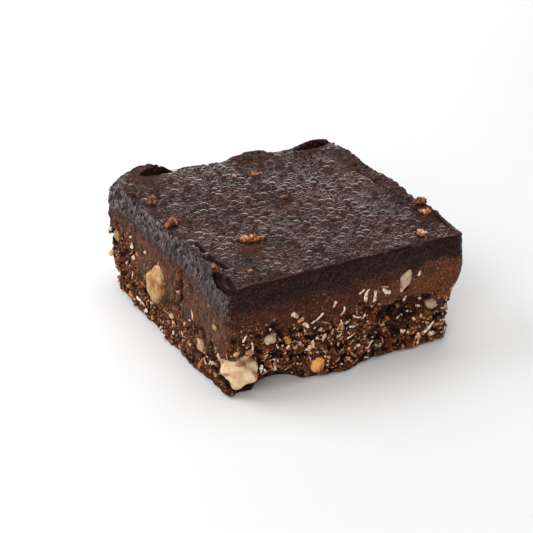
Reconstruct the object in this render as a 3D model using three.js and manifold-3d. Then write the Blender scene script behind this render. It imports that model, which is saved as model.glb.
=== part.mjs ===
// A square of layered chocolate brownie: a set layer of dark ganache on a dense base of cocoa
// crumb, with pieces of nut and coconut flakes showing in its cut faces.
// Millimetres, +Z up. The origin is under the middle of the square, on the surface it rests on.
// +X runs along the front cut face, and +Y from the front face to the back one.
import * as THREE from "three";
import { mergeVertices } from "three/addons/utils/BufferGeometryUtils.js";
import Module from "manifold-3d";

const wasm = await Module();
wasm.setup();

// Driving dimensions
const HEIGHT = 28.4;
const GANACHE_THICKNESS = 6.8;
const LAYER_GAP = 0.3;
const NUT_GAP = 0.3;
// A cut or join that would leave a triangle thinner than this is tried again a nudge away
const THINNEST = 0.012;
const NUDGE = 0.043;
const NUDGES = 24;
const TOP_EDGE_RADIUS = 1.3;
const BOTTOM_EDGE_RADIUS = 0.9;
const CORNER_RADIUS = 2.2;
const BACK_LEFT_CORNER_RADIUS = 3.4;
// The middle of the square in the frame that the shapes below are drawn in
const MIDDLE = { x: 0.05, y: 2.5 };

// Crags of the crumb: how far they stand out, and how far apart they are
const CRAG = { rise: 0.6, pitch: 3.8 };
const GANACHE_WAVE = { rise: 0.16, pitch: 7 };

// Swells and dents of a cut face: [along it, up it, reach along, reach up, how far out]
const LEFT_SWELLS = [
  [-27, 27, 13, 13, 1.5],
  [-24, 0, 8, 8, -1.3],
  [36, 18, 7, 13, 3.3],
  [36, 2, 6, 6, -1.8],
];
const FRONT_SWELLS = [
  [-3, 1, 5, 6, 1.4],
  [-28, 1, 4, 4, -1.3],
  [31, 22, 4, 9, 1.4],
];
const RIGHT_SWELLS = [
  [-34, 10, 9, 8, -1.5],
  [-34, 0, 10, 4, -1.3],
  [-33, 19, 8, 5, 1.3],
  [-34, 29, 5, 4, -0.6],
  [8, 27, 20, 6, 0.5],
  [14, 6, 8, 6, -1.1],
];
const BACK_SWELLS = [
  [-22, 28, 8, 6, 2.2],
  [-32, 8, 9, 6, 1.2],
  [10, 27, 5, 5, 0.9],
  [27, 27, 5, 5, 0.8],
  [24, 8, 8, 7, -1.2],
  [-6, 3, 7, 5, -0.9],
];

// Raised lips of the ganache's edge: [x, y, reach along x, reach along y, rise]
const LIPS = [
  [-20, 38.5, 7.5, 2.6, 2.7],
  [8, 34, 5.5, 2.4, 1.7],
  [28.5, 33.5, 6, 2, 1.8],
  [33, 22, 2.4, 7, 0.9],
  [33.5, 0, 2.2, 8, 1.2],
  [33.5, -17, 2.0, 6, 1.3],
  [-29.5, 27, 1.3, 7, 0.35],
  [-33, 39, 5.5, 5.5, -2.6],
  [-33, -34, 5, 5, -0.9],
];

// What is missing from each layer: [middle, half sizes], in millimetres
const GANACHE_HOLLOWS = [
  [[-17.5, 34.6, 29.9], [6.2, 1.5, 2.1]],
  [[26.5, 30.6, 29.4], [5.4, 1.1, 1.8]],
  [[-30.2, -26.2, 28.5], [1.7, 4.2, 2.1]],
  [[-29.4, 25.5, 28.5], [0.8, 8, 0.9]],
];
const BASE_HOLLOWS = [
  [[-18.6, -32.6, 1.5], [6.2, 6.6, 4.8]],
  [[16.2, -33.6, 11.4], [8.2, 6.4, 3.4]],
  [[11.5, -32.8, 7.4], [5.5, 2.6, 3.2]],
  [[-32.6, 27.2, 6.2], [3.2, 1.5, 3.4]],
  [[-32.6, -5.2, 16.4], [2.8, 1.5, 5.6]],
  [[34, 4, 9], [4.6, 6.5, 3.1]],
  [[-8, 34.5, 8.5], [6.5, 4.8, 3.0]],
];

// Nut pieces: name, middle, half sizes, turn about X, Y and Z in degrees, how lumpy, seed
const NUTS = [
  ["nut_front_corner", [-27.8, -29.6, 6.6], [4.6, 3.4, 4.3], [0, -24, -14], 0.2, 11],
  ["nut_left_large", [-30.6, 8.2, 10.8], [3.0, 4.1, 5.4], [14, 0, 0], 0.12, 12],
  ["nut_left_back", [-30.2, 32.0, 14.6], [2.3, 2.4, 2.6], [10, 0, 20], 0.14, 13],
  ["nut_left_small", [-31.0, -17.2, 7.3], [1.6, 1.9, 2.1], [0, 0, 0], 0.14, 14],
  ["nut_front_upper", [16.2, -30.3, 19.2], [1.6, 1.7, 2.9], [0, 26, 0], 0.14, 15],
  ["nut_front_right", [25.2, -30.0, 10.6], [1.8, 1.7, 1.8], [0, 0, 0], 0.14, 16],
  ["nut_front_low", [-8.1, -31.3, 2.9], [2.0, 1.5, 2.3], [0, 8, 0], 0.1, 17],
  ["nut_front_left", [-20.8, -30.6, 13.4], [1.7, 1.5, 1.4], [0, 0, 0], 0.12, 18],
  ["nut_right_large", [31.2, -8, 12.4], [2.6, 4.2, 3.4], [20, 0, 0], 0.15, 19],
  ["nut_right_low", [30.8, 18, 4.6], [2.2, 2.6, 2.4], [0, 0, 0], 0.15, 20],
  ["nut_back_large", [-21, 32.6, 12.6], [4.0, 2.6, 3.2], [0, 18, 0], 0.15, 21],
  ["nut_back_small", [12, 31.2, 6.0], [2.4, 2.0, 2.2], [0, 0, 0], 0.15, 22],
];

// Crumbs that lie on the ganache: [x, y], half sizes, turn about Z in degrees, seed
const TOP_CRUMBS = [
  [[-16.2, -10.6], [3.4, 1.1, 1.0], 12, 31],
  [[32.2, -11.2], [1.7, 1.9, 0.9], 0, 32],
  [[30.2, -16.9], [1.9, 1.5, 0.7], -20, 33],
  [[22.6, -27.2], [1.5, 1.5, 1.2], 0, 34],
  [[-2.0, 22.6], [1.3, 1.0, 0.7], 0, 35],
  [[3.2, 21.3], [2.2, 0.9, 0.7], -4, 36],
  [[-27.4, 19.0], [1.5, 1.6, 1.2], 0, 37],
  [[-28.2, 6.4], [1.9, 1.7, 1.3], 0, 38],
];

// Large coconut flakes: face, along it, up it, length, width, turn from level in degrees
const FLAKE_THICKNESS = 0.75;
const FLAKE_WIDTH = 1.0;
const SHOWN_FLAKES = [
  ["front", -8.5, 15.2, 5.4, 1.1, 34],
  ["front", -12.3, 14.6, 2.6, 1.1, 150],
  ["front", -0.6, 15.4, 4.2, 0.9, 62],
  ["front", 5.6, 17.6, 4.2, 1.0, 74],
  ["front", 7.8, 17.2, 3.6, 1.0, 84],
  ["front", 3.0, 13.6, 3.2, 0.9, 24],
  ["front", 2.0, 9.6, 3.4, 1.1, 28],
  ["front", 4.6, 4.4, 3.6, 1.4, 128],
  ["front", 22.8, 4.6, 4.2, 1.6, 46],
  ["front", -14.5, 10.8, 3.4, 1.0, 82],
  ["front", 10.8, 19.4, 2.6, 1.3, 10],
  ["left", 14.0, 2.2, 4.6, 1.5, 146],
  ["left", 22.6, 15.2, 2.6, 1.1, 60],
  ["left", 21.4, 7.4, 3.0, 1.2, 80],
  ["left", -13.0, 13.4, 3.0, 0.9, 110],
];
const SCATTERED_FLAKES = { front: 4, left: 4, right: 11, back: 11 };
const CLEAR_OF_NUTS = 1.2;

// Grids: steps round the square, rows up the sides, and rings across the faces
const STEPS_ROUND = 112;
const BASE_ROWS = 10;
const GANACHE_ROWS = 4;
const TOP_RINGS = [0.2, 0.36, 0.5, 0.63, 0.75, 0.84, 0.9, 0.94, 0.97, 0.99];
const BOTTOM_RINGS = [0.95, 0.6, 0.3];
const HIDDEN_RINGS = [0.28, 0.56, 0.84];
const NOMINAL = { halfX: 31.5, halfY: 32.5, cornerRadius: 10 };

// A fixed random number from -1 to 1 at each point of a whole-number lattice
function latticeValue(i, j, k, seed) {
  let h =
    Math.imul(i, 374761393) ^
    Math.imul(j, 668265263) ^
    Math.imul(k, 1440662683) ^
    Math.imul(seed, 1274126177);
  h = Math.imul(h ^ (h >>> 15), 2246822519);
  h = Math.imul(h ^ (h >>> 13), 3266489917);
  h ^= h >>> 16;
  return ((h >>> 0) / 4294967295) * 2 - 1;
}

const fade = (t) => t * t * (3 - 2 * t);
const mix = (a, b, t) => a + (b - a) * t;

// Smooth noise from -1 to 1 with one lattice point for each unit
function noise(x, y, z, seed) {
  const i = Math.floor(x);
  const j = Math.floor(y);
  const k = Math.floor(z);
  const u = fade(x - i);
  const v = fade(y - j);
  const w = fade(z - k);
  const layer = (kk) =>
    mix(
      mix(latticeValue(i, j, kk, seed), latticeValue(i + 1, j, kk, seed), u),
      mix(latticeValue(i, j + 1, kk, seed), latticeValue(i + 1, j + 1, kk, seed), u),
      v,
    );
  return mix(layer(k), layer(k + 1), w);
}

// A fixed random number from 0 to 1
const random = (index, seed) => (latticeValue(index, 7, 13, seed) + 1) / 2;

function swell(along, up, swells) {
  let out = 0;
  for (const [a, b, reachA, reachB, rise] of swells)
    out += rise * Math.exp(-(((along - a) / reachA) ** 2) - ((up - b) / reachB) ** 2);
  return out;
}

// How far each cut face stands from the drawing's own middle lines
const leftFace = (y, z) => 32.9 - 0.11 * z + swell(y, z, LEFT_SWELLS);
const frontFace = (x, z) => 31.9 - 0.04 * z + swell(x, z, FRONT_SWELLS);
const rightFace = (y, z) => 31.3 + 0.06 * z + swell(y, z, RIGHT_SWELLS);
function backFace(x, z) {
  const towardsLeft = THREE.MathUtils.clamp((16 - x) / 47, 0, 1);
  return 30 + 1.3 * towardsLeft + (0.075 + 0.13 * towardsLeft) * z + swell(x, z, BACK_SWELLS);
}

// Height of the ganache's top, and of the surface between the two layers
function topHeight(x, y) {
  let z = HEIGHT + 0.25 * noise(x / 12, y / 12, 0, 5);
  for (const [a, b, reachX, reachY, rise] of LIPS)
    z += rise * Math.exp(-(((x - a) / reachX) ** 2) - ((y - b) / reachY) ** 2);
  return z;
}
function junction(x, y) {
  const frontCorner = Math.exp(-(((x + 27) / 9) ** 2) - ((y + 32) / 9) ** 2);
  return HEIGHT - GANACHE_THICKNESS + 0.3 * noise(x / 11, y / 11, 0, 6) - 1.8 * frontCorner;
}

// A box corner's distance from two face distances, rounded
function rounded(a, b, radius) {
  const p = a + radius;
  const q = b + radius;
  return Math.min(Math.max(p, q), 0) + Math.hypot(Math.max(p, 0), Math.max(q, 0)) - radius;
}

function smoothMax(a, b, reach) {
  const t = Math.max(reach - Math.abs(a - b), 0) / reach;
  return Math.max(a, b) + (t * t * reach) / 4;
}

// How far a point is outside the square's four cut faces, negative inside
function planDistance(x, y, z) {
  const acrossX = Math.max(x - rightFace(y, z), -leftFace(y, z) - x);
  const acrossY = Math.max(y - backFace(x, z), -frontFace(x, z) - y);
  const isBackLeft = x < 0 && y > 0;
  return rounded(acrossX, acrossY, isBackLeft ? BACK_LEFT_CORNER_RADIUS : CORNER_RADIUS);
}

// The same for an ellipsoid
function ellipsoidDistance(x, y, z, [cx, cy, cz], [rx, ry, rz]) {
  const share = Math.hypot((x - cx) / rx, (y - cy) / ry, (z - cz) / rz);
  return (share - 1) * Math.min(rx, ry, rz);
}

function carve(distance, x, y, z, hollows, reach) {
  for (const [middle, halfSizes] of hollows)
    distance = smoothMax(distance, -ellipsoidDistance(x, y, z, middle, halfSizes), reach);
  return distance;
}

function baseDistance(x, y, z) {
  const { rise, pitch } = CRAG;
  const low = THREE.MathUtils.clamp((24 - z) / 10, 0.25, 1);
  const sides = planDistance(x, y, z) - rise * low * noise(x / pitch, y / pitch, z / pitch, 1);
  const solid = rounded(sides, -z, BOTTOM_EDGE_RADIUS);
  return carve(solid, x, y, z, BASE_HOLLOWS, 0.8);
}

function ganacheDistance(x, y, z) {
  const { rise, pitch } = GANACHE_WAVE;
  const sides = planDistance(x, y, z) - rise * noise(x / pitch, y / pitch, z / pitch, 2);
  const solid = rounded(sides, z - topHeight(x, y), TOP_EDGE_RADIUS);
  return carve(solid, x, y, z, GANACHE_HOLLOWS, 0.5);
}

// Where a ray from outside first meets a solid
function firstHit(distance, start, direction, reach) {
  const STEP = 0.4;
  const at = (t) => start.clone().addScaledVector(direction, t);
  const value = (t) => {
    const p = at(t);
    return distance(p.x, p.y, p.z);
  };
  let outside = 0;
  while (outside < reach && value(outside + STEP) > 0) outside += STEP;
  let inside = outside + STEP;
  for (let i = 0; i < 14; i++) {
    const middle = (outside + inside) / 2;
    if (value(middle) > 0) outside = middle;
    else inside = middle;
  }
  return at(inside);
}

// Points spread evenly round a rounded rectangle, counter-clockwise, with their outward directions
function nominalOutline(steps) {
  const { halfX, halfY, cornerRadius: r } = NOMINAL;
  const shape = new THREE.Shape();
  shape.moveTo(halfX, 0);
  shape.lineTo(halfX, halfY - r);
  shape.absarc(halfX - r, halfY - r, r, 0, Math.PI / 2);
  shape.lineTo(r - halfX, halfY);
  shape.absarc(r - halfX, halfY - r, r, Math.PI / 2, Math.PI);
  shape.lineTo(-halfX, r - halfY);
  shape.absarc(r - halfX, r - halfY, r, Math.PI, 1.5 * Math.PI);
  shape.lineTo(halfX - r, -halfY);
  shape.absarc(halfX - r, r - halfY, r, 1.5 * Math.PI, 2 * Math.PI);
  shape.lineTo(halfX, 0);
  return shape
    .getSpacedPoints(steps)
    .slice(0, steps)
    .map(({ x, y }) => {
      const cornerX = Math.sign(x) * Math.max(Math.abs(x) - (halfX - r), 0);
      const cornerY = Math.sign(y) * Math.max(Math.abs(y) - (halfY - r), 0);
      const away = new THREE.Vector3(cornerX, cornerY, 0).normalize();
      return { point: new THREE.Vector3(x + MIDDLE.x, y + MIDDLE.y, 0), away };
    });
}
const OUTLINE = nominalOutline(STEPS_ROUND);
const MARGIN = 8;

function sidePoint(distance, step, z) {
  const { point, away } = OUTLINE[step];
  const start = point.clone().addScaledVector(away, MARGIN).setZ(z);
  return firstHit(distance, start, away.clone().negate(), 3 * MARGIN);
}

const inward = (point, share, z) =>
  new THREE.Vector3(mix(MIDDLE.x, point.x, share), mix(MIDDLE.y, point.y, share), z);

// A sphere's grid moulded to rows of points: the first and last rows each hold one point
function mouldedGrid(rows) {
  const geometry = new THREE.SphereGeometry(1, STEPS_ROUND, rows.length - 1);
  const position = geometry.getAttribute("position");
  rows.forEach((row, j) => {
    for (let i = 0; i <= STEPS_ROUND; i++) {
      const p = row[i % row.length];
      position.setXYZ(j * (STEPS_ROUND + 1) + i, p.x, p.y, p.z);
    }
  });
  return geometry;
}

const everyStep = (make) => OUTLINE.map((_, step) => make(step));

function ganacheGeometry() {
  const rim = everyStep((step) => sidePoint(ganacheDistance, step, HEIGHT - 2.4));
  const onTop = (x, y) =>
    firstHit(ganacheDistance, new THREE.Vector3(x, y, HEIGHT + 4), new THREE.Vector3(0, 0, -1), 8);
  const under = (p) => p.setZ(junction(p.x, p.y) + LAYER_GAP / 2);
  const rows = [[onTop(MIDDLE.x, MIDDLE.y)]];
  for (const share of TOP_RINGS)
    rows.push(
      rim.map((p) => {
        const { x, y } = inward(p, share, 0);
        return onTop(x, y);
      }),
    );
  for (let row = 0; row < GANACHE_ROWS; row++) {
    const share = row / GANACHE_ROWS;
    rows.push(
      everyStep((step) => {
        const { x, y } = rim[step];
        return sidePoint(ganacheDistance, step, mix(HEIGHT - 1.5, junction(x, y), share));
      }),
    );
  }
  rows.push(
    everyStep((step) => under(sidePoint(ganacheDistance, step, junction(rim[step].x, rim[step].y)))),
  );
  for (const share of HIDDEN_RINGS.toReversed())
    rows.push(OUTLINE.map(({ point }) => under(inward(point, share, 0))));
  rows.push([under(new THREE.Vector3(MIDDLE.x, MIDDLE.y, 0))]);
  return mouldedGrid(rows);
}

function baseGeometry() {
  const rim = everyStep((step) => sidePoint(baseDistance, step, HEIGHT - GANACHE_THICKNESS));
  const over = (p) => p.setZ(junction(p.x, p.y) - LAYER_GAP / 2);
  const foot = everyStep((step) => sidePoint(baseDistance, step, BOTTOM_EDGE_RADIUS / 2));
  const rows = [[over(new THREE.Vector3(MIDDLE.x, MIDDLE.y, 0))]];
  for (const share of HIDDEN_RINGS)
    rows.push(OUTLINE.map(({ point }) => over(inward(point, share, 0))));
  rows.push(rim.map((p) => over(p.clone())));
  for (let row = 1; row < BASE_ROWS; row++) {
    const share = row / BASE_ROWS;
    rows.push(
      everyStep((step) => {
        const { x, y } = rim[step];
        return sidePoint(baseDistance, step, mix(junction(x, y) - LAYER_GAP / 2, 1.2, share));
      }),
    );
  }
  rows.push(foot);
  for (const share of BOTTOM_RINGS) rows.push(foot.map((p) => inward(p, share, 0)));
  rows.push([new THREE.Vector3(MIDDLE.x, MIDDLE.y, 0)]);
  return mouldedGrid(rows);
}

// A lumpy ball: a subdivided icosahedron with its points moved in and out by noise
function lumpGeometry(halfSizes, lumpiness, seed, detail, grow = 0) {
  const geometry = new THREE.IcosahedronGeometry(1, detail);
  const position = geometry.getAttribute("position");
  const p = new THREE.Vector3();
  for (let i = 0; i < position.count; i++) {
    p.fromBufferAttribute(position, i).normalize();
    const share = 1 + lumpiness * 1.6 * noise(p.x * 1.7 + 9, p.y * 1.7 + 9, p.z * 1.7 + 9, seed);
    position.setXYZ(
      i,
      p.x * (halfSizes[0] * share + grow),
      p.y * (halfSizes[1] * share + grow),
      p.z * (halfSizes[2] * share + grow),
    );
  }
  return geometry;
}

function placement(middle, [turnX, turnY, turnZ]) {
  const degrees = THREE.MathUtils.degToRad;
  const turn = new THREE.Euler(degrees(turnX), degrees(turnY), degrees(turnZ));
  return new THREE.Matrix4().makeRotationFromEuler(turn).setPosition(...middle);
}

// A bent strip that lies in the plane of X and Y, curling up at its ends
function flakeGeometry(length, width) {
  const geometry = new THREE.BoxGeometry(length, width, FLAKE_THICKNESS, 2, 1, 1);
  const position = geometry.getAttribute("position");
  for (let i = 0; i < position.count; i++) {
    const along = position.getX(i) / length;
    position.setY(i, position.getY(i) * (1 - 1.1 * Math.abs(along)) + along * along * width);
    position.setZ(i, position.getZ(i) + along * along * 0.4);
  }
  return geometry;
}

// The place on a cut face of the base that is so far along and up it, and the face's directions
const FACES = {
  front: { along: new THREE.Vector3(1, 0, 0), away: new THREE.Vector3(0, -1, 0) },
  right: { along: new THREE.Vector3(0, 1, 0), away: new THREE.Vector3(1, 0, 0) },
  back: { along: new THREE.Vector3(-1, 0, 0), away: new THREE.Vector3(0, 1, 0) },
  left: { along: new THREE.Vector3(0, -1, 0), away: new THREE.Vector3(-1, 0, 0) },
};
function onFace(name, along, up) {
  const { away } = FACES[name];
  const alongY = name === "left" || name === "right";
  const start = new THREE.Vector3(alongY ? 0 : along, alongY ? along : 0, up);
  start.addScaledVector(away, 42);
  return firstHit(baseDistance, start, away.clone().negate(), 16);
}

function flakePlacement(name, along, up, turn) {
  const { along: level, away } = FACES[name];
  const point = onFace(name, along, up).addScaledVector(away, 0.12);
  const upward = new THREE.Vector3(0, 0, 1);
  return new THREE.Matrix4()
    .makeBasis(level, upward, away)
    .multiply(new THREE.Matrix4().makeRotationZ(THREE.MathUtils.degToRad(turn)))
    .setPosition(point);
}

// Flakes spread over a face by a seeded draw, more of them low down, clear of the shown ones
function scatteredFlakes(name, count, seed) {
  const flakes = [];
  for (let i = 0; flakes.length < count && i < 12 * count; i++) {
    const along = mix(-26, 26, random(4 * i, seed));
    const up = mix(2.2, 18, random(4 * i + 1, seed) ** 1.4);
    const length = mix(2.4, 4.0, random(4 * i + 2, seed));
    const taken = [...SHOWN_FLAKES, ...flakes].some(
      ([face, a, b]) => face === name && Math.hypot(a - along, b - up) < 4,
    );
    if (!taken) flakes.push([name, along, up, length, FLAKE_WIDTH, 180 * random(4 * i + 3, seed)]);
  }
  return flakes;
}

// Solids for joining and cutting
function solidOf(geometry) {
  const bare = new THREE.BufferGeometry();
  bare.setAttribute("position", geometry.getAttribute("position"));
  bare.setIndex(geometry.getIndex());
  const merged = mergeVertices(bare, 1e-4);
  return new wasm.Manifold(
    new wasm.Mesh({
      numProp: 3,
      vertProperties: merged.getAttribute("position").array,
      triVerts: new Uint32Array(merged.getIndex().array),
    }),
  );
}

// The height of a solid's thinnest triangle
function thinnestTriangle(solid) {
  const { vertProperties, triVerts, numProp } = solid.getMesh();
  const corner = (i) => new THREE.Vector3().fromArray(vertProperties, triVerts[i] * numProp);
  let thinnest = Infinity;
  for (let i = 0; i < triVerts.length; i += 3) {
    const [p, q, r] = [corner(i), corner(i + 1), corner(i + 2)];
    const longest = Math.max(p.distanceTo(q), q.distanceTo(r), r.distanceTo(p));
    const doubleArea = q.sub(p).cross(r.sub(p)).length();
    thinnest = Math.min(thinnest, doubleArea / longest);
  }
  return thinnest;
}

// Joins or cuts a solid with a copy that is nudged until it leaves no sliver of a triangle. Where
// no nudge does that, the copy that comes closest is used, or none if it can be left out.
function withoutSlivers(solid, combine, canLeaveOut = false) {
  const limit = Math.min(THINNEST, thinnestTriangle(solid));
  let best = { height: -1 };
  for (let i = 0; i < NUDGES && best.height < limit; i++) {
    const made = combine(solid, i * NUDGE);
    const height = thinnestTriangle(made);
    if (height > best.height) best = { made, height };
  }
  return canLeaveOut && best.height < limit ? solid : best.made;
}

function geometryOf(solid) {
  const [largest] = solid.decompose().sort((a, b) => b.volume() - a.volume());
  const mesh = largest.getMesh();
  return new THREE.BufferGeometry()
    .setAttribute("position", new THREE.Float32BufferAttribute(mesh.vertProperties, 3))
    .setIndex([...mesh.triVerts]);
}

// Base: the crumb with its flakes fused on and a pocket round each nut piece
function base() {
  const flakes = [
    ...SHOWN_FLAKES,
    ...Object.entries(SCATTERED_FLAKES).flatMap(([name, count], i) =>
      scatteredFlakes(name, count, 50 + i),
    ),
  ];
  let solid = solidOf(baseGeometry());
  for (const [, middle, halfSizes, turns, lumpiness, seed] of NUTS) {
    solid = withoutSlivers(solid, (whole, nudge) => {
      const gap = NUT_GAP + nudge / 4;
      const pocket = lumpGeometry(halfSizes, lumpiness, seed, nutDetail(halfSizes), gap);
      return whole.subtract(solidOf(pocket.applyMatrix4(placement(middle, turns))));
    });
  }
  for (const [name, along, up, length, width, turn] of flakes) {
    const place = flakePlacement(name, along, up, turn);
    const middle = new THREE.Vector3().setFromMatrixPosition(place);
    const nearNut = NUTS.some(
      ([, at, halfSizes]) =>
        middle.distanceTo(new THREE.Vector3(...at)) <
        Math.max(...halfSizes) + length / 2 + CLEAR_OF_NUTS,
    );
    if (nearNut) continue;
    const addFlake = (whole, nudge) => {
      const moved = place.clone().multiply(new THREE.Matrix4().makeTranslation(nudge, 0, 0));
      return whole.add(solidOf(flakeGeometry(length, width).applyMatrix4(moved)));
    };
    solid = withoutSlivers(solid, addFlake, true);
  }
  return geometryOf(solid);
}

// Ganache: the set layer with the crumbs that lie on it fused on
function ganache() {
  let solid = solidOf(ganacheGeometry());
  for (const [[x, y], halfSizes, turn, seed] of TOP_CRUMBS) {
    solid = withoutSlivers(solid, (whole, nudge) => {
      const z = topHeight(x, y) + halfSizes[2] * 0.45 + nudge;
      const crumb = lumpGeometry(halfSizes, 0.22, seed, 1);
      return whole.add(solidOf(crumb.applyMatrix4(placement([x, y, z], [0, 0, turn]))));
    });
  }
  return geometryOf(solid);
}

const nutDetail = (halfSizes) => (Math.max(...halfSizes) > 3 ? 2 : 1);

const coat = (color, roughness) =>
  new THREE.MeshStandardMaterial({ color, roughness, metalness: 0 });
const GANACHE_COAT = coat(0x35241f, 0.38);
const CRUMB_COAT = coat(0x4a3024, 0.8);
const NUT_COAT = coat(0xcfb489, 0.5);

function named(name, geometry, material) {
  const mesh = new THREE.Mesh(geometry, material);
  mesh.name = name;
  return mesh;
}

const brownie = new THREE.Group();
brownie.position.set(-MIDDLE.x, -MIDDLE.y, 0);
brownie.add(named("ganache", ganache(), GANACHE_COAT));
brownie.add(named("base", base(), CRUMB_COAT));
for (const [name, middle, halfSizes, turns, lumpiness, seed] of NUTS) {
  const geometry = lumpGeometry(halfSizes, lumpiness, seed, nutDetail(halfSizes));
  const nut = named(name, geometry, NUT_COAT);
  nut.applyMatrix4(placement(middle, turns));
  brownie.add(nut);
}

export default brownie;
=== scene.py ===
"""A square of layered chocolate brownie on a pale floor, in soft studio light.

Lengths are in millimetres while a shape is worked out, and in metres once it is a mesh. The shapes
are worked out about a drawing point of their own, and MIDDLE is where the square's middle lies
from it.
"""

import bmesh
import bpy
import numpy as np
from mathutils import Euler, Matrix, Vector


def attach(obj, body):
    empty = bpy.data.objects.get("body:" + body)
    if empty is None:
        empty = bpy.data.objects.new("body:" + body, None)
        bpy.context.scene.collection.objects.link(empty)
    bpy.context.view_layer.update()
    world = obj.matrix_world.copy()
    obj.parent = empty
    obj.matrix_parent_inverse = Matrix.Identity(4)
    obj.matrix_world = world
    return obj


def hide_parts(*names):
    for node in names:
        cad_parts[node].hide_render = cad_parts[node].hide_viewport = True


MM = 0.001

# The square's sizes
HEIGHT = 28.4
GANACHE_THICKNESS = 6.8
TOP_EDGE_RADIUS = 0.35
BOTTOM_EDGE_RADIUS = 0.9
CORNER_RADIUS = 2.2
BACK_LEFT_CORNER_RADIUS = 3.4
MIDDLE = np.array([0.05, 2.5, 0.0])

# Swells and dents of a cut face: (along it, up it, reach along, reach up, how far out)
LEFT_SWELLS = [
    (-27, 27, 13, 13, 1.5),
    (-24, 0, 8, 8, -1.3),
    (36, 18, 7, 13, 3.3),
    (36, 2, 6, 6, -1.8),
]
FRONT_SWELLS = [(-3, 1, 5, 6, 1.4), (-28, 1, 4, 4, -1.3), (31, 22, 4, 9, 1.4)]
RIGHT_SWELLS = [
    (-34, 10, 9, 8, -1.5),
    (-34, 0, 10, 4, -1.3),
    (-33, 19, 8, 5, 1.3),
    (-34, 29, 5, 4, -0.6),
    (8, 27, 20, 6, 0.5),
    (14, 6, 8, 6, -1.1),
]
BACK_SWELLS = [
    (-22, 28, 8, 6, 2.2),
    (-32, 8, 9, 6, 1.2),
    (10, 27, 5, 5, 0.9),
    (27, 27, 5, 5, 0.8),
    (24, 8, 8, 7, -1.2),
    (-6, 3, 7, 5, -0.9),
]

# Raised lips and fallen corners of the top: (x, y, reach along x, reach along y, rise)
LIPS = [
    (-18.6, 38.5, 7.0, 2.6, 1.6),
    (8, 34, 5.5, 2.4, 1.4),
    (28.5, 33.5, 6, 2, 1.4),
    (33, 22, 2.4, 7, 0.9),
    (33.5, 0, 2.2, 8, 1.2),
    (33.5, -17, 2.0, 6, 1.3),
    (-29.5, 27, 1.3, 7, 0.35),
    (-33, 39, 5.5, 5.5, -2.6),
    (-33, -34, 5, 5, -0.9),
]

# What is missing from each layer: (middle, half sizes)
SCOOPS = [((-17.0, 34.8, 29.4), (6.6, 1.7, 2.3)), ((26.5, 30.8, 29.2), (5.6, 1.2, 2.0))]
CREASE = ((-29.4, 25.5, 28.5), (0.8, 8, 0.9))
BITE = ((-30.3, -26.4, 28.5), (1.7, 4.9, 2.2))
BASE_HOLLOWS = [
    ((-18.9, -32.6, 1.3), (6.8, 5.6, 3.9)),
    ((16.2, -33.6, 11.4), (8.2, 6.4, 3.4)),
    ((11.5, -32.8, 7.4), (5.5, 2.6, 3.2)),
    ((-32.6, 27.2, 6.2), (3.2, 1.5, 3.4)),
    ((-32.6, -5.2, 16.4), (2.8, 1.5, 5.6)),
    ((34, 4, 9), (4.6, 6.5, 3.1)),
    ((-8, 34.5, 8.5), (6.5, 4.8, 3.0)),
]

# Nut pieces: node, middle, half sizes, turn about X, Y and Z in degrees, how lumpy, seed, colour
NUTS = [
    ("nut_front_corner", (-27.8, -29.6, 6.6), (4.6, 3.4, 4.3), (0, -24, -14), 0.2, 11, "cream"),
    ("nut_left_large", (-30.6, 8.2, 10.8), (3.0, 4.1, 5.4), (14, 0, 0), 0.12, 12, "amber"),
    ("nut_left_back", (-30.2, 32.0, 14.6), (2.3, 2.4, 2.6), (10, 0, 20), 0.14, 13, "amber"),
    ("nut_left_small", (-31.0, -17.2, 7.3), (1.6, 1.9, 2.1), (0, 0, 0), 0.14, 14, "tan"),
    ("nut_front_upper", (16.2, -30.3, 19.2), (1.6, 1.7, 2.9), (0, 26, 0), 0.14, 15, "grey"),
    ("nut_front_right", (25.2, -30.0, 10.6), (1.8, 1.7, 1.8), (0, 0, 0), 0.14, 16, "grey"),
    ("nut_front_low", (-8.1, -31.3, 2.9), (2.0, 1.5, 2.3), (0, 8, 0), 0.1, 17, "tan"),
    ("nut_front_left", (-20.8, -30.6, 13.4), (1.7, 1.5, 1.4), (0, 0, 0), 0.12, 18, "grey"),
    ("nut_right_large", (31.2, -8, 12.4), (2.6, 4.2, 3.4), (20, 0, 0), 0.15, 19, "cream"),
    ("nut_right_low", (30.8, 18, 4.6), (2.2, 2.6, 2.4), (0, 0, 0), 0.15, 20, "amber"),
    ("nut_back_large", (-21, 32.6, 12.6), (4.0, 2.6, 3.2), (0, 18, 0), 0.15, 21, "cream"),
    ("nut_back_small", (12, 31.2, 6.0), (2.4, 2.0, 2.2), (0, 0, 0), 0.15, 22, "tan"),
]

# Nut pieces that look unlike their kind
NUT_LOOKS = {"nut_left_small": "dusty"}

# The body of a nut piece between its lobes, as a share of its size
NUT_CORES = {"nut_front_corner": 0.88}

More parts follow.
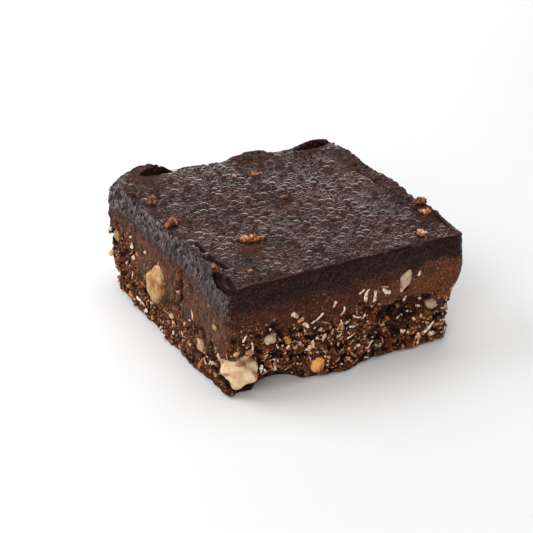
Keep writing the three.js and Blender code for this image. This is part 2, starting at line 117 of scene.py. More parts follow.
# Lobes and dents of the nut pieces: direction, how far they stand out, how wide they are
NUT_LOBES = {
    "nut_front_corner": [
        ((-0.59, 0.52, 0.63), 2.3, 0.36),
        ((0.47, 0.09, 0.89), 1.4, 0.34),
        ((0.56, -0.78, -0.33), 1.9, 0.46),
        ((-0.51, -0.44, -0.76), 0.5, 0.5),
        ((-0.32, 0.36, 0.93), -0.7, 0.26),
        ((-0.86, 0.43, 0.33), -0.4, 0.3),
        ((0.15, -0.76, -0.67), -0.3, 0.25),
        ((0.69, -0.21, 0.71), -1.0, 0.3),
        ((0.7, -0.69, 0.3), -0.5, 0.24),
    ],
    "nut_left_large": [
        ((-0.6, 0.5, 0.7), 0.9, 0.45),
        ((-0.5, -0.5, -0.6), 0.9, 0.45),
        ((-0.7, -0.5, 0.4), -0.7, 0.4),
    ],
    "nut_front_upper": [((0.2, -0.3, 0.9), 0.6, 0.4), ((-0.4, -0.3, -0.9), 0.8, 0.3)],
}

# Crumbs on the ganache: (x, y), half sizes, turn in degrees, grains in it, how pale
TOP_CRUMBS = [
    ((-15.6, -11.6), (4.4, 1.3, 1.2), -22, 64, 0.5),
    ((32.4, -13.2), (2.1, 2.2, 1.1), 0, 30, 0.42),
    ((30.6, -17.6), (2.0, 1.3, 0.5), -24, 22, 0.55),
    ((22.8, -27.4), (1.6, 1.6, 1.3), 0, 24, 0.75),
    ((-2.0, 22.6), (1.2, 0.8, 0.5), 0, 8, 0.95),
    ((3.2, 21.3), (2.1, 0.8, 0.5), -4, 12, 0.6),
    ((-27.6, 18.4), (1.7, 2.2, 1.0), 0, 26, 0.3),
    ((-28.4, 5.6), (2.4, 2.4, 1.3), 0, 40, 0.35),
    ((-29.1, -20.0), (0.8, 1.7, 0.6), 0, 14, 0.45),
    ((-23.2, -25.4), (0.6, 0.6, 0.8), 0, 5, 0.6),
    ((7.6, -10.7), (1.0, 0.8, 0.5), 20, 7, 0.1),
    ((17.3, -20.6), (0.9, 0.9, 0.5), 0, 6, 0.1),
    ((4.3, -28.0), (0.7, 0.6, 0.4), 0, 4, 0.2),
    ((3.3, 5.6), (1.2, 0.9, 0.4), 0, 7, 0.2),
]

# Flakes that stand out, by face: along it, up it, length, width, turn in degrees, bend, how pale
SHOWN_FLAKES = {
    "front": [
        (-27.5, 15.4, 2.1, 1.2, 61, 0.6, 0.9),
        (-25.7, 12.2, 2.8, 0.9, 91, -0.5, 0.9),
        (-23.3, 6.3, 2.2, 0.9, 84, 0.5, 0.95),
        (-11.7, 15.2, 2.4, 1.0, 143, 1.2, 0.95),
        (-8.6, 15.7, 4.4, 1.1, 30, 1.5, 0.95),
        (-14.4, 18.2, 2.3, 1.3, 145, 0.4, 0.8),
        (-12.9, 16.6, 1.9, 1.2, 20, -0.6, 0.5),
        (-1.0, 15.4, 3.2, 0.6, 56, 1.8, 0.95),
        (2.6, 13.0, 2.8, 0.7, 150, -1.4, 0.9),
        (4.6, 12.4, 2.4, 0.6, 30, 1.6, 0.8),
        (-1.8, 12.3, 2.4, 0.7, 72, 0.8, 0.95),
        (1.9, 10.8, 2.8, 0.7, 2, 0.7, 0.85),
        (0.9, 8.6, 2.5, 1.1, 26, 0.9, 0.95),
        (-2.2, 9.5, 1.5, 0.7, 26, 0.4, 0.9),
        (3.8, 4.8, 3.4, 1.0, 126, 1.3, 0.9),
        (6.6, 4.7, 2.5, 1.7, 56, 0.5, 0.95),
        (24.2, 4.6, 4.2, 1.7, 44, 0.9, 1.0),
        (24.8, 2.7, 2.0, 1.2, 10, 0.4, 0.9),
        (20.8, 3.1, 1.8, 1.2, 69, 0.3, 0.95),
        (5.1, 18.3, 3.6, 1.1, 76, -0.9, 0.95),
        (7.8, 17.3, 3.6, 1.0, 82, 0.8, 0.95),
        (4.0, 19.6, 2.0, 0.8, 30, 0.9, 0.6),
        (10.8, 18.0, 2.7, 1.5, 150, -0.7, 0.9),
        (10.4, 19.4, 2.2, 0.7, 170, 0.4, 0.3),
        (-3.7, 18.2, 2.0, 0.9, 68, 0.3, 0.45),
        (-6.7, 10.2, 2.4, 1.3, 55, 0.4, 0.6),
        (-9.9, 8.8, 2.2, 1.4, 48, 0.3, 0.35),
        (-4.1, 10.6, 2.2, 0.7, 76, 0.2, 0.2),
        (16.8, 14.4, 1.8, 0.9, 65, 0.4, 0.8),
        (20.2, 20.6, 1.5, 0.7, 69, 0.3, 0.8),
        (-19.8, 6.2, 2.2, 0.9, 100, 0.6, 0.6),
    ],
    "left": [
        (15.2, 3.0, 5.6, 2.2, 6, 0.5, 0.95),
        (12.2, 2.0, 2.4, 1.2, 20, 0.6, 0.7),
        (22.6, 15.2, 2.6, 1.0, 60, 2.6, 0.8),
        (21.4, 7.4, 2.8, 1.1, 80, 1.6, 0.6),
        (-13.0, 13.4, 2.6, 0.7, 110, 0.8, 0.6),
        (3.1, 0.9, 2.2, 0.9, 160, 0.5, 0.95),
        (-3.5, 3.4, 2.2, 1.1, 60, 0.5, 0.9),
    ],
}

# How finely the surfaces are divided, along the faces and in rows up them
STEPS_X = 212
STEPS_Y = 222
BASE_ROWS = 70
GANACHE_ROWS = 25
# Rings of the faces in the joint, and of the underside, as shares of the outline
HIDDEN_SHARES = (0.97, 0.9, 0.7, 0.4)
JOINT_OVERLAP = 0.05
UNDER_SHARES = (0.985, 0.96, 0.9, 0.8, 0.65, 0.45, 0.2)
# The plain rounded rectangle that rays are sent in through, and how far outside it they start
NOMINAL_HALF = (31.5, 32.5)
NOMINAL_CORNER = 10
MARGIN = 8

# The camera of the photograph: its lens for a frame of FRAME_PIXELS, its angles in radians, and its
# distance and shift from the drawing point
FRAME_PIXELS = 533
FOCAL_PIXELS = 1400
SENSOR_MM = 36
CAMERA_AZIMUTH = -0.51369
CAMERA_ELEVATION = 0.49357
CAMERA_ROLL = 0.0174533
CAMERA_DISTANCE = 362.94
CAMERA_SHIFT = (-3.800, 10.979)


# Numbers


def lattice_value(i, j, k, seed):
    """A fixed random number from -1 to 1 at each point of a whole-number lattice."""
    word = np.uint32

    def part(value, factor):
        return np.asarray(value).astype(np.int64).astype(word) * word(factor)

    h = part(i, 374761393) ^ part(j, 668265263) ^ part(k, 1440662683)
    h = h ^ part(np.full(np.shape(h), seed), 1274126177)
    h = (h ^ (h >> word(15))) * word(2246822519)
    h = (h ^ (h >> word(13))) * word(3266489917)
    h = h ^ (h >> word(16))
    return h / 4294967295 * 2 - 1


def noise(x, y, z, seed):
    """Smooth noise from -1 to 1 with one lattice point for each unit."""
    x, y, z = np.broadcast_arrays(np.atleast_1d(x), y, z)
    i, j, k = np.floor(x), np.floor(y), np.floor(z)
    u, v, w = (t * t * (3 - 2 * t) for t in (x - i, y - j, z - k))
    value = 0
    for di, wi in ((0, 1 - u), (1, u)):
        for dj, wj in ((0, 1 - v), (1, v)):
            for dk, wk in ((0, 1 - w), (1, w)):
                value = value + wi * wj * wk * lattice_value(i + di, j + dj, k + dk, seed)
    return value


def layered_noise(x, y, z, seed, octaves=3):
    total, size = 0, 1
    for octave in range(octaves):
        scale = 2**octave
        total = total + size * noise(x * scale, y * scale, z * scale, seed + octave)
        size /= 2
    return total


def smooth_step(low, high, value):
    t = np.clip((value - low) / (high - low), 0, 1)
    return t * t * (3 - 2 * t)


# The form of the square


def hill(a, b, middle_a, middle_b, reach_a, reach_b):
    """A smooth round hill, 1 high at its middle."""
    return np.exp(-(((a - middle_a) / reach_a) ** 2) - ((b - middle_b) / reach_b) ** 2)


def add_hills(level, a, b, hills):
    for middle_a, middle_b, reach_a, reach_b, rise in hills:
        level = level + rise * hill(a, b, middle_a, middle_b, reach_a, reach_b)
    return level


def top_height(x, y):
    return add_hills(HEIGHT + 0.25 * noise(x / 12, y / 12, 0, 5), x, y, LIPS)


def junction(x, y):
    """Height of the joint between the layers, which sinks at the front left corner."""
    sunk = 1.8 * hill(x, y, -27, -32, 9, 9)
    return HEIGHT - GANACHE_THICKNESS + 0.3 * noise(x / 11, y / 11, 0, 6) - sunk


def rounded(a, b, radius):
    """The distance to where two half spaces meet, with their edge rounded."""
    p, q = a + radius, b + radius
    return np.minimum(np.maximum(p, q), 0) + np.hypot(np.maximum(p, 0), np.maximum(q, 0)) - radius


def smooth_max(a, b, reach):
    """The larger of two distances, blended where they are within reach of each other."""
    t = np.maximum(reach - np.abs(a - b), 0) / reach
    return np.maximum(a, b) + t * t * reach / 4


def plan_distance(x, y, z):
    """How far a point is outside the square's four cut faces, negative inside."""
    left = 32.9 - 0.11 * z + add_hills(0, y, z, LEFT_SWELLS)
    front = 31.9 - 0.04 * z + add_hills(0, x, z, FRONT_SWELLS)
    right = 31.3 + 0.06 * z + add_hills(0, y, z, RIGHT_SWELLS)
    to_left = np.clip((16 - x) / 47, 0, 1)
    back = 30 + 1.3 * to_left + (0.075 + 0.13 * to_left) * z + add_hills(0, x, z, BACK_SWELLS)
    radius = np.where((x < 0) & (y > 0), BACK_LEFT_CORNER_RADIUS, CORNER_RADIUS)
    return rounded(np.maximum(x - right, -left - x), np.maximum(y - back, -front - y), radius)


def ball_share(x, y, z, middle, half_sizes):
    """How far out a point is in a stretched ball, 1 on its surface."""
    (cx, cy, cz), (rx, ry, rz) = middle, half_sizes
    return np.sqrt(((x - cx) / rx) ** 2 + ((y - cy) / ry) ** 2 + ((z - cz) / rz) ** 2)


def carve(distance, x, y, z, hollows, reach):
    """The distance to a solid once stretched balls are cut from it."""
    for middle, half_sizes in hollows:
        depth = (1 - ball_share(x, y, z, middle, half_sizes)) * min(half_sizes)
        distance = smooth_max(distance, depth, reach)
    return distance


def knife_strokes(x, y, z):
    """Slanted ridges that the knife left."""
    slant = y + 0.35 * z
    coarse = 0.34 * noise(x / 3, slant / 0.85, z / 1.7, 65)
    return coarse + 0.18 * noise(x, slant / 0.5, z / 1.1, 66)


def side_distance(x, y, z):
    """The cut faces with their crags, which fade out towards the ganache."""
    crag = 0.6 * np.clip((23 - z) / 10, 0, 1)
    sides = plan_distance(x, y, z) - crag * noise(x / 3.8, y / 3.8, z / 3.8, 1)
    return sides - 0.16 * noise(x / 7, y / 7, z / 7, 2)


def base_distance(x, y, z):
    solid = rounded(side_distance(x, y, z), -z, BOTTOM_EDGE_RADIUS)
    return carve(solid, x, y, z, BASE_HOLLOWS, 0.8)


def ganache_distance(x, y, z):
    solid = rounded(side_distance(x, y, z), z - top_height(x, y), TOP_EDGE_RADIUS)
    return carve(solid, x, y, z, [*SCOOPS, CREASE], 0.5)


def press_bite(points):
    """Sinks the points in the bite at the front left corner to its floor."""
    (cx, cy, cz), (rx, ry, rz) = BITE
    x, y, z = points.T
    flat = 1 - ((x - cx) / rx) ** 2 - ((y - cy) / ry) ** 2
    floor = cz - rz * np.sqrt(np.clip(flat, 0, 1))
    sunk = np.where((flat > 0) & (z > floor), floor + 0.03 * (z - floor), z)
    return np.stack([x, y, sunk], 1)


def first_hits(distance, starts, directions, reach):
    """Where each ray from outside first meets a solid."""
    step = 0.4

    def value(t):
        p = starts + directions * t[:, None]
        return distance(p[:, 0], p[:, 1], p[:, 2])

    outside = np.zeros(len(starts))
    going = np.ones(len(starts), bool)
    for _ in range(int(reach / step)):
        going &= value(outside + step) > 0
        if not going.any():
            break
        outside[going] += step
    inside = outside + step
    for _ in range(12):
        middle = (outside + inside) / 2
        out = value(middle) > 0
        outside = np.where(out, middle, outside)
        inside = np.where(out, inside, middle)
    return starts + directions * inside[:, None]


# Meshes


def nominal_ring():
    """Points round a rounded rectangle and their outward directions, counter-clockwise from the
    middle of the front left corner, STEPS_X of them along the front and back and STEPS_Y along
    the sides."""
    half_x, half_y = NOMINAL_HALF
    r = NOMINAL_CORNER
    points, away = [], []
    for side, (half, other, steps) in enumerate(
        [(half_x, half_y, STEPS_X), (half_y, half_x, STEPS_Y)] * 2
    ):
        straight, arc = 2 * (half - r), np.pi / 4 * r
        s = np.arange(steps) / steps * (straight + 2 * arc)
        first = np.clip(s / arc, 0, 1)
        last = np.clip((s - arc - straight) / arc, 0, 1)
        angle = np.pi / 4 * (last + first - 1)
        along = np.where(s < arc, r - half, np.where(s > arc + straight, half - r, s - arc - half + r))
        along, out = along + r * np.sin(angle), r - other - r * np.cos(angle)
        turn = side * np.pi / 2
        c, d = round(np.cos(turn)), round(np.sin(turn))
        points.append(np.stack([along * c - out * d, along * d + out * c], 1))
        nx, ny = np.sin(angle), -np.cos(angle)
        away.append(np.stack([nx * c - ny * d, nx * d + ny * c], 1))
    points, away = np.concatenate(points), np.concatenate(away)
    flat = np.zeros((len(points), 1))
    return np.hstack([points, flat]) + MIDDLE, np.hstack([away, flat])


RING, AWAY = nominal_ring()


def side_row(distance, heights):
    """The points of the cut faces at the ring's places and at given heights."""
    starts = RING + AWAY * MARGIN
    starts[:, 2] = heights
    return first_hits(distance, starts, -AWAY, 3 * MARGIN)


def shrunk(ring, share):
    """A ring drawn in towards the middle."""
    return MIDDLE + (ring - MIDDLE) * [share, share, 1]


def ring_faces(upper, lower):
    return np.stack([upper, lower, np.roll(lower, -1), np.roll(upper, -1)], 1)


def fan_faces(ring, middle):
    """Triangles from a ring of points to the point in its middle."""
    return np.stack([ring, np.roll(ring, -1), np.full(len(ring), middle)], 1)


def joint_rings(outline, shares, lift):
    """Rings inside the outline of a layer, in the joint with the other one."""
    rings = [shrunk(outline, share) for share in shares]
    for ring in rings:
        ring[:, 2] = junction(ring[:, 0], ring[:, 1]) + lift
    return rings


def stack_faces(first, rows, count):
    """Faces of rows of ring points that are numbered one row after another from first."""
    index = first + np.arange(rows * count).reshape(rows, count)
    return np.concatenate([ring_faces(index[j], index[j + 1]) for j in range(rows - 1)])


def point_normals(points, quads):
    """Each point's outward direction, from the quads round it."""
    across = points[quads[:, 2]] - points[quads[:, 0]]
    down = points[quads[:, 3]] - points[quads[:, 1]]
    normal = np.cross(across, down)
    total = np.zeros_like(points)
    for corner in range(4):
        np.add.at(total, quads[:, corner], normal)
    return total / np.maximum(np.linalg.norm(total, axis=1, keepdims=True), 1e-9)


def mesh_object(name, points, faces, attributes=None, centred=True, sharp_from=None):
    """An object from points in millimetres, with a number at each point for each attribute, and
    edges that look sharp from an angle in degrees."""
    mesh = bpy.data.meshes.new(name)
    placed = (points - (MIDDLE if centred else 0)) * MM
    mesh.from_pydata(placed.tolist(), [], [list(f) for f in faces])
    mesh.validate()
    for key, values in (attributes or {}).items():
        layer = mesh.attributes.new(key, "FLOAT", "POINT")
        layer.data.foreach_set("value", np.asarray(values, np.float32))
    mesh.polygons.foreach_set("use_smooth", [True] * len(mesh.polygons))
    if sharp_from:
        mesh.set_sharp_from_angle(angle=np.radians(sharp_from))
    piece = bpy.data.objects.new(name, mesh)
    bpy.context.collection.objects.link(piece)
    return piece


def place_piece(piece, material, nodes=()):
    """Gives a piece its material and the CAD nodes that it takes the place of."""
    piece.data.materials.append(material)
    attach(piece, "root")
    if nodes:
        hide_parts(*nodes)
    return piece


# The ganache


def top_relief(x, y):
    """The top's own unevenness between its bubbles."""
    relief = 0.09 * noise(x / 4.5, y / 4.5, 0, 61) + 0.04 * noise(x / 1.8, y / 1.8, 0, 62)
    relief += 0.02 * noise(x / 0.8, y / 0.8, 0, 63)
    edge = smooth_step(-3.2, -0.6, plan_distance(x, y, np.full(np.shape(x), HEIGHT)))
    relief += edge * (0.26 * noise(x / 2.4, y / 2.4, 0, 72) + 0.08 * noise(x / 0.9, y / 0.9, 0, 73))
    return relief - groove_depth(x, y)


def drop_on_top(plan):
    """Points of the top under points of its plan."""
    starts = plan.reshape(-1, 3).copy()
    starts[:, 2] = HEIGHT + 5
    down = np.tile([0.0, 0.0, -1.0], (len(starts), 1))
    return first_hits(ganache_distance, starts, down, 9).reshape(plan.shape)


def map_top():
    """Height of the finished top over its plan, with the plan's low corner and cell size."""
    low, high, cell = np.array([-35.0, -36.0]), np.array([36.0, 40.0]), 0.25
    count = ((high - low) / cell).astype(int)
    gx, gy = np.meshgrid(*(low[a] + cell * np.arange(count[a]) for a in (0, 1)), indexing="ij")
    height = drop_on_top(np.stack([gx, gy, np.zeros(gx.shape)], -1))[..., 2]
    return height + top_relief(gx, gy), low, cell


def sample(picture, low, cell, x, y):
    """A picture's value between its cells."""
    fx, fy = (x - low[0]) / cell, (y - low[1]) / cell
    i = np.clip(fx.astype(int), 0, picture.shape[0] - 2)
    j = np.clip(fy.astype(int), 0, picture.shape[1] - 2)
    u, v = np.clip(fx - i, 0, 1), np.clip(fy - j, 0, 1)
    near = picture[i, j] * (1 - u) + picture[i + 1, j] * u
    far = picture[i, j + 1] * (1 - u) + picture[i + 1, j + 1] * u
    return near * (1 - v) + far * v


# Grooves of the top: (x, y) from and to, half width, depth
TOP_GROOVES = [
    ((-27.3, -5.6), (-27.9, -12.0), 0.42, 1.5),
    ((-29.0, -12.6), (-27.9, -15.0), 0.34, 0.8),
    ((-28.0, -14.0), (-26.5, -21.6), 0.55, 2.4),
    ((-29.2, -13.0), (-28.6, -21.0), 0.3, 0.5),
    ((28.9, 14.0), (30.4, -4.0), 0.36, 0.8),
    ((30.4, -4.0), (31.6, -11.0), 0.4, 0.7),
    ((32.2, -18.5), (31.4, -27.5), 0.36, 0.7),
]


def groove_depth(x, y):
    """How deep the grooves and slits are at a place on the top."""
    depth = 0
    for (ax, ay), (bx, by), half_width, deep in TOP_GROOVES:
        dx, dy = bx - ax, by - ay
        t = np.clip(((x - ax) * dx + (y - ay) * dy) / (dx * dx + dy * dy), 0, 1)
        wander = 0.4 * noise(x / 1.7, y / 1.7, 0, 71)
        off = np.hypot(x - ax - t * dx, y - ay - t * dy) + wander * half_width
        ends = np.sqrt(np.clip(4 * t * (1 - t), 0, 1))
        depth = depth + deep * ends * np.exp(-((off / half_width) ** 2))
    return depth


def ganache_relief(points, normals):
    """How far each point of the ganache is moved along its normal."""
    x, y, z = points.T
    up = smooth_step(0.55, 0.95, normals[:, 2])
    top = top_relief(x, y)
    on_left = smooth_step(0.5, 0.9, -normals[:, 0])
    streaks = knife_strokes(x, y, z) + 0.16 * noise(x / 3, y / 1.8, z / 3.0, 67)
    edge = smooth_step(HEIGHT - 4.5, HEIGHT - 0.8, z)
    plain = 0.05 * layered_noise(x / 1.2, y / 1.2, z / 1.2, 68)
    ragged = 0.3 * edge * layered_noise(x / 1.3, y / 1.3, z / 1.0, 69)
    pores = -0.5 * smooth_step(0.62, 0.85, noise(x / 0.8, y / 0.8, z / 0.7, 70)) * (0.3 + edge)
    side = np.where(on_left > 0, on_left * streaks, 0) + plain + ragged + pores * (1 - on_left)
    return up * top + (1 - up) * side


def top_surface(rim):
    """The top's points on a grid of plan points drawn between the four sides of the rim."""
    a, b = STEPS_X, STEPS_Y
    front, right = rim[: a + 1], rim[a : a + b + 1]
    back = rim[a + b : 2 * a + b + 1][::-1]
    left = np.vstack([rim[2 * a + b :], rim[:1]])[::-1]
    s, t = np.linspace(0, 1, a + 1)[:, None, None], np.linspace(0, 1, b + 1)[None, :, None]
    grid = (1 - t) * front[:, None] + t * back[:, None] + (1 - s) * left[None] + s * right[None]
    corners = (1 - s) * (1 - t) * front[0] + s * (1 - t) * front[-1]
    grid = grid - corners - (1 - s) * t * back[0] - s * t * back[-1]
    grid[1:-1, 1:-1] = drop_on_top(grid[1:-1, 1:-1])
    return grid


# A bubble's rings from its foot up: (share of its radius, share of its height, shade). The shade is
# painted shade: below 0 it darkens the colour at the foot and in a popped bubble's hollow
WHOLE_BUBBLE = [
    (1.1, -0.5, -0.2),
    (1.0, 0.1, -0.12),
    (0.84, 0.48, 0),
    (0.6, 0.8, 0),
    (0.3, 0.96, 0),
]
POPPED_BUBBLE = [
    (1.1, -0.5, -0.2),
    (1.0, 0.25, -0.15),
    (0.93, 0.85, 0),
    (0.84, 1.0, 0),
    (0.7, 0.6, -0.2),
    (0.45, 0.3, -0.3),
]
SMALL_BUBBLE = [(1.1, -0.5, -0.15), (0.9, 0.4, 0), (0.5, 0.9, 0)]
BUBBLE_SIDES = 9
BUBBLE_TRIES = 26000
# How far a bubble's foot and the point under its middle lie in the ganache
FOOT_DEPTH = 0.16
ROOT_DEPTH = 0.4


def bubbles_mesh(name, top, spots, radii, heights, profile):
    """One mesh of many bubbles, each a closed lens that is sunk in the top."""
    count, rings = len(spots), len(profile)
    angle = np.arange(BUBBLE_SIDES) / BUBBLE_SIDES * 2 * np.pi
    seeds = spots[:, :1] * 7
    wobble = 1 + 0.16 * noise(np.cos(angle) + seeds, np.sin(angle) + spots[:, 1:], 0.5, 51)
    share, rise, shade = np.array(profile).T
    reach = radii[:, None, None] * wobble[:, None, :] * share[None, :, None]
    x = spots[:, 0, None, None] + reach * np.cos(angle)
    y = spots[:, 1, None, None] + reach * np.sin(angle)
    ground = sample(*top, spots[:, 0], spots[:, 1])
    z = sample(*top, x, y) * 0.5 + ground[:, None, None] * 0.5
    lift = heights[:, None] * rise[None]
    lift[:, 0] = -FOOT_DEPTH
    z = z + lift[..., None]
    body = np.stack([x, y, z], -1).reshape(count, -1, 3)
    apex = np.column_stack([spots, ground + heights * rise[-1]])
    sunk = np.column_stack([spots, ground - ROOT_DEPTH])
    points = np.concatenate([body, apex[:, None], sunk[:, None]], 1)
    ring = np.arange(BUBBLE_SIDES)
    after = np.roll(ring, -1)
    size = rings * BUBBLE_SIDES + 2
    shell = []
    for j in range(rings - 1):
        low, high = j * BUBBLE_SIDES, (j + 1) * BUBBLE_SIDES
        shell += np.stack([low + ring, low + after, high + after, high + ring], 1).tolist()
    last = (rings - 1) * BUBBLE_SIDES
    shell += np.stack([last + ring, last + after, np.full(BUBBLE_SIDES, size - 2)], 1).tolist()
    shell += np.stack([after, ring, np.full(BUBBLE_SIDES, size - 1)], 1).tolist()
    faces = [[v + n * size for v in face] for n in range(count) for face in shell]
    attributes = {
        "height_above": np.full(count * size, GANACHE_THICKNESS),
        # The profile's painted shade goes into relief, which darkens the foot and the hollow of each
        # bubble
        "relief": np.tile([*np.repeat(shade, BUBBLE_SIDES), shade[-1], 0], count),
        "up": np.ones(count * size),
    }
    return mesh_object(name, points.reshape(-1, 3), faces, attributes)


def spread_bubbles(top):
    """Where the bubbles are on the top, and how large."""
    rng = np.random.default_rng(53)
    radii = np.sort(np.minimum(0.25 * (1 - rng.random(BUBBLE_TRIES)) ** -0.29, 1.05))[::-1]
    spots = rng.uniform([-33, -34], [34, 37], (BUBBLE_TRIES, 2))
    x, y = spots.T
    inside = plan_distance(x, y, np.full(BUBBLE_TRIES, HEIGHT)) < -0.15 - radii
    flat = sample(*top, x, y) > top_height(x, y) - 0.8
    (cx, cy, _), (rx, ry, _) = BITE
    flat &= np.hypot((x - cx) / (rx + radii), (y - cy) / (ry + radii)) > 1
    calm = 0.35 * smooth_step(6, 24, x) * smooth_step(-8, 12, y)
    busy = 0.72 - 0.5 * noise(x / 11, y / 11, 0, 64) - calm
    wanted = inside & flat & (rng.random(BUBBLE_TRIES) < busy) & (groove_depth(x, y) < 0.15)
    kept = []
    for n in np.flatnonzero(wanted):
        gaps = np.hypot(*(spots[kept] - spots[n]).T) - radii[kept]
        if not kept or gaps.min() > radii[n] * rng.uniform(0.45, 0.85):
            kept.append(n)
    return spots[kept], radii[kept], rng


def make_bubbles(top):
    """Small bubbles all over the top, whole ones and popped ones."""
    spots, radii, rng = spread_bubbles(top)
    heights = 0.05 + radii * rng.uniform(0.2, 0.42, len(radii)) * np.where(radii > 0.6, 0.8, 1)
    popped = rng.random(len(radii)) < 0.3
    small = radii < 0.36

    def pieces(name, some, profile):
        return bubbles_mesh(name, top, spots[some], radii[some], heights[some], profile)

    return [
        pieces("bubbles_whole", ~popped & ~small, WHOLE_BUBBLE),
        pieces("bubbles_popped", popped & ~small, POPPED_BUBBLE),
        pieces("bubbles_small", small, SMALL_BUBBLE),
    ]


def grid_rim(index):
    """A grid's outer points in the rim's own order."""
    return np.concatenate([index[:-1, 0], index[-1, :-1], index[:0:-1, -1], index[0, :0:-1]])


def make_ganache():
    """The ganache layer: its top as a grid, its cut faces as rings of points, a hidden underside."""
    rim_height = top_height(RING[:, 0], RING[:, 1]) - 0.45
    rim = side_row(ganache_distance, rim_height)
    grid = top_surface(rim)
    index = np.arange(grid.shape[0] * grid.shape[1]).reshape(grid.shape[:2])
    top_faces = np.stack(
        [index[:-1, :-1], index[1:, :-1], index[1:, 1:], index[:-1, 1:]], -1
    ).reshape(-1, 4)
    low = junction(rim[:, 0], rim[:, 1])
    rows = [
        side_row(ganache_distance, rim_height + (low - rim_height) * j / GANACHE_ROWS)
        for j in range(1, GANACHE_ROWS + 1)
    ]
    under = joint_rings(rows[-1], HIDDEN_SHARES, -JOINT_OVERLAP)
    points = np.vstack([grid.reshape(-1, 3), *rows, *under, MIDDLE + [0, 0, junction(0, 0)[0]]])
    count, first = len(RING), index.size
    quads = np.vstack(
        [
            top_faces,
            ring_faces(grid_rim(index), first + np.arange(count)),
            stack_faces(first, len(rows) + len(under), count),
        ]
    )
    last = first + (len(rows) + len(under) - 1) * count + np.arange(count)
    middle = np.full(count, len(points) - 1)
    cap = np.stack([np.roll(last, -1), last, middle], 1)
    normals = point_normals(points, quads)
    x, y, z = points.T
    moved = ganache_relief(points, normals)
    depth_down = z - junction(x, y)
    moved[first + GANACHE_ROWS * count :] = 0
    moved *= smooth_step(-0.2, 0.8, depth_down)
    points = press_bite(points + normals * moved[:, None])
    never = np.full(len(points), -3.0)
    glossy = smooth_step(-0.35, 0.05, carve(never, x, y, z, [*SCOOPS, BITE], 0.5))
    crease = smooth_step(-0.5, 0.0, carve(never, x, y, z, [CREASE], 0.5))
    attributes = {
        "height_above": depth_down,
        "relief": moved,
        "up": normals[:, 2],
        "left": -normals[:, 0],
        "glossy": glossy,
        "crease": crease,
    }
    faces = [*quads.tolist(), *cap.tolist()]
    layer = mesh_object("ganache_layer", points, faces, attributes, sharp_from=60)
    finish = (np.arange(len(faces)) >= len(top_faces)).astype(np.int32)
    finish[: len(quads)][glossy[quads].mean(1) > 0.6] = 2
    layer.data.polygons.foreach_set("material_index", finish)
    return layer


# The base


def roughness_of(x, y, z, on_left):
    """From 0 where the knife has smoothed the base to 1 where it is coarse crumb."""
    patchy = noise(x / 5, y / 5, z / 4, 81)
    start = 17.5 - 3.5 * on_left + 9 * smooth_step(16, 27, y) * on_left
    start = start + 2.6 * smooth_step(-4, -22, x) * smooth_step(-24, -29, y) * (1 - on_left)
    rough = smooth_step(0, -8, z - start + 3.0 * patchy)
    fallen = hill(y, z, -3.8, 15, 3.4, 6.5)
    rough = np.maximum(rough, on_left * fallen * (0.7 + 0.5 * patchy))
    hollow = carve(np.full(np.shape(x), -4.0), x, y, z, BASE_HOLLOWS, 0.8)
    return np.clip(np.maximum(rough, smooth_step(-0.9, 0.1, hollow)), 0.06, 1)


GRAIN_NUMBER = 15000
PIT_NUMBER = 2600


def patch_round(shape, spacing, row, column, radius):
    """The grid points round a place on the unrolled cut faces, and how far they are from it."""
    reach = int(radius / spacing) + 2
    i = np.arange(max(int(row) - reach, 0), min(int(row) + reach + 1, shape[0]))
    j = np.arange(int(column) - reach, int(column) + reach + 1)
    return np.ix_(i, j % shape[1]), (i[:, None] - row) * spacing, (j[None] - column) * spacing


def grain_relief(shape, spacing, rough):
    """Height and tint of crumb grains over the unrolled cut faces, row by row."""
    # Where no grain lies the tint stays darker than most grains, as painted shade in the gaps
    height, tint = np.zeros(shape), np.full(shape, 0.35)
    rng = np.random.default_rng(19)
    for row, column, radius, aspect, angle, shade, strength in zip(
        rng.uniform(0, shape[0], GRAIN_NUMBER),
        rng.uniform(0, shape[1], GRAIN_NUMBER),
        0.24 + 0.75 * rng.random(GRAIN_NUMBER) ** 2.2,
        rng.uniform(0.55, 1, GRAIN_NUMBER),
        rng.uniform(0, np.pi, GRAIN_NUMBER),
        rng.random(GRAIN_NUMBER),
        rng.uniform(0.5, 1.1, GRAIN_NUMBER),
    ):
        patch, di, dj = patch_round(shape, spacing, row, column, radius)
        a = di * np.cos(angle) + dj * np.sin(angle)
        b = (dj * np.cos(angle) - di * np.sin(angle)) / aspect
        share = (a * a + b * b) / radius**2
        bump = strength * radius * 0.8 * np.sqrt(np.clip(1 - share, 0, 1))
        over = bump > height[patch]
        height[patch] = np.where(over, bump, height[patch])
        tint[patch] = np.where(over, shade, tint[patch])
    for row, column, radius, deep in zip(
        rng.uniform(0, shape[0], PIT_NUMBER),
        rng.uniform(0, shape[1], PIT_NUMBER),
        0.25 + 0.75 * rng.random(PIT_NUMBER) ** 2.5,
        rng.uniform(0.4, 1.0, PIT_NUMBER),
    ):
        patch, di, dj = patch_round(shape, spacing, row, column, radius)
        height[patch] -= deep * radius * np.sqrt(np.clip(1 - (di**2 + dj**2) / radius**2, 0, 1))
    return height * rough, tint


def cave_share(x, y, z):
    """How far a place lies in one of the base's hollows above the floor."""
    inside = carve(np.full(np.shape(x), -9.0), x, y, z, BASE_HOLLOWS, 0.8)
    return smooth_step(-0.4, 0.3, inside) * (z > 6.0)


# How far round a nut piece the crumb lies back, as a share of the nut's own size
RECESS_REACH = {
    "nut_front_corner": 1.3,
    "nut_left_back": 1.6,
    "nut_front_right": 1.35,
    "nut_front_left": 1.3,
}
RECESS_DEPTH = 2.4


def nut_recess(x, y, z):
    """How far the crumb lies back round each nut, so that the nut shows."""
    recess = 0
    for name, middle, half_sizes, *_ in NUTS:
        wide = RECESS_REACH.get(name, 1.08)
        share = ball_share(x, y, z, middle, half_sizes)
        recess = np.maximum(recess, RECESS_DEPTH * smooth_step(wide, wide - 0.25, share))
    return recess


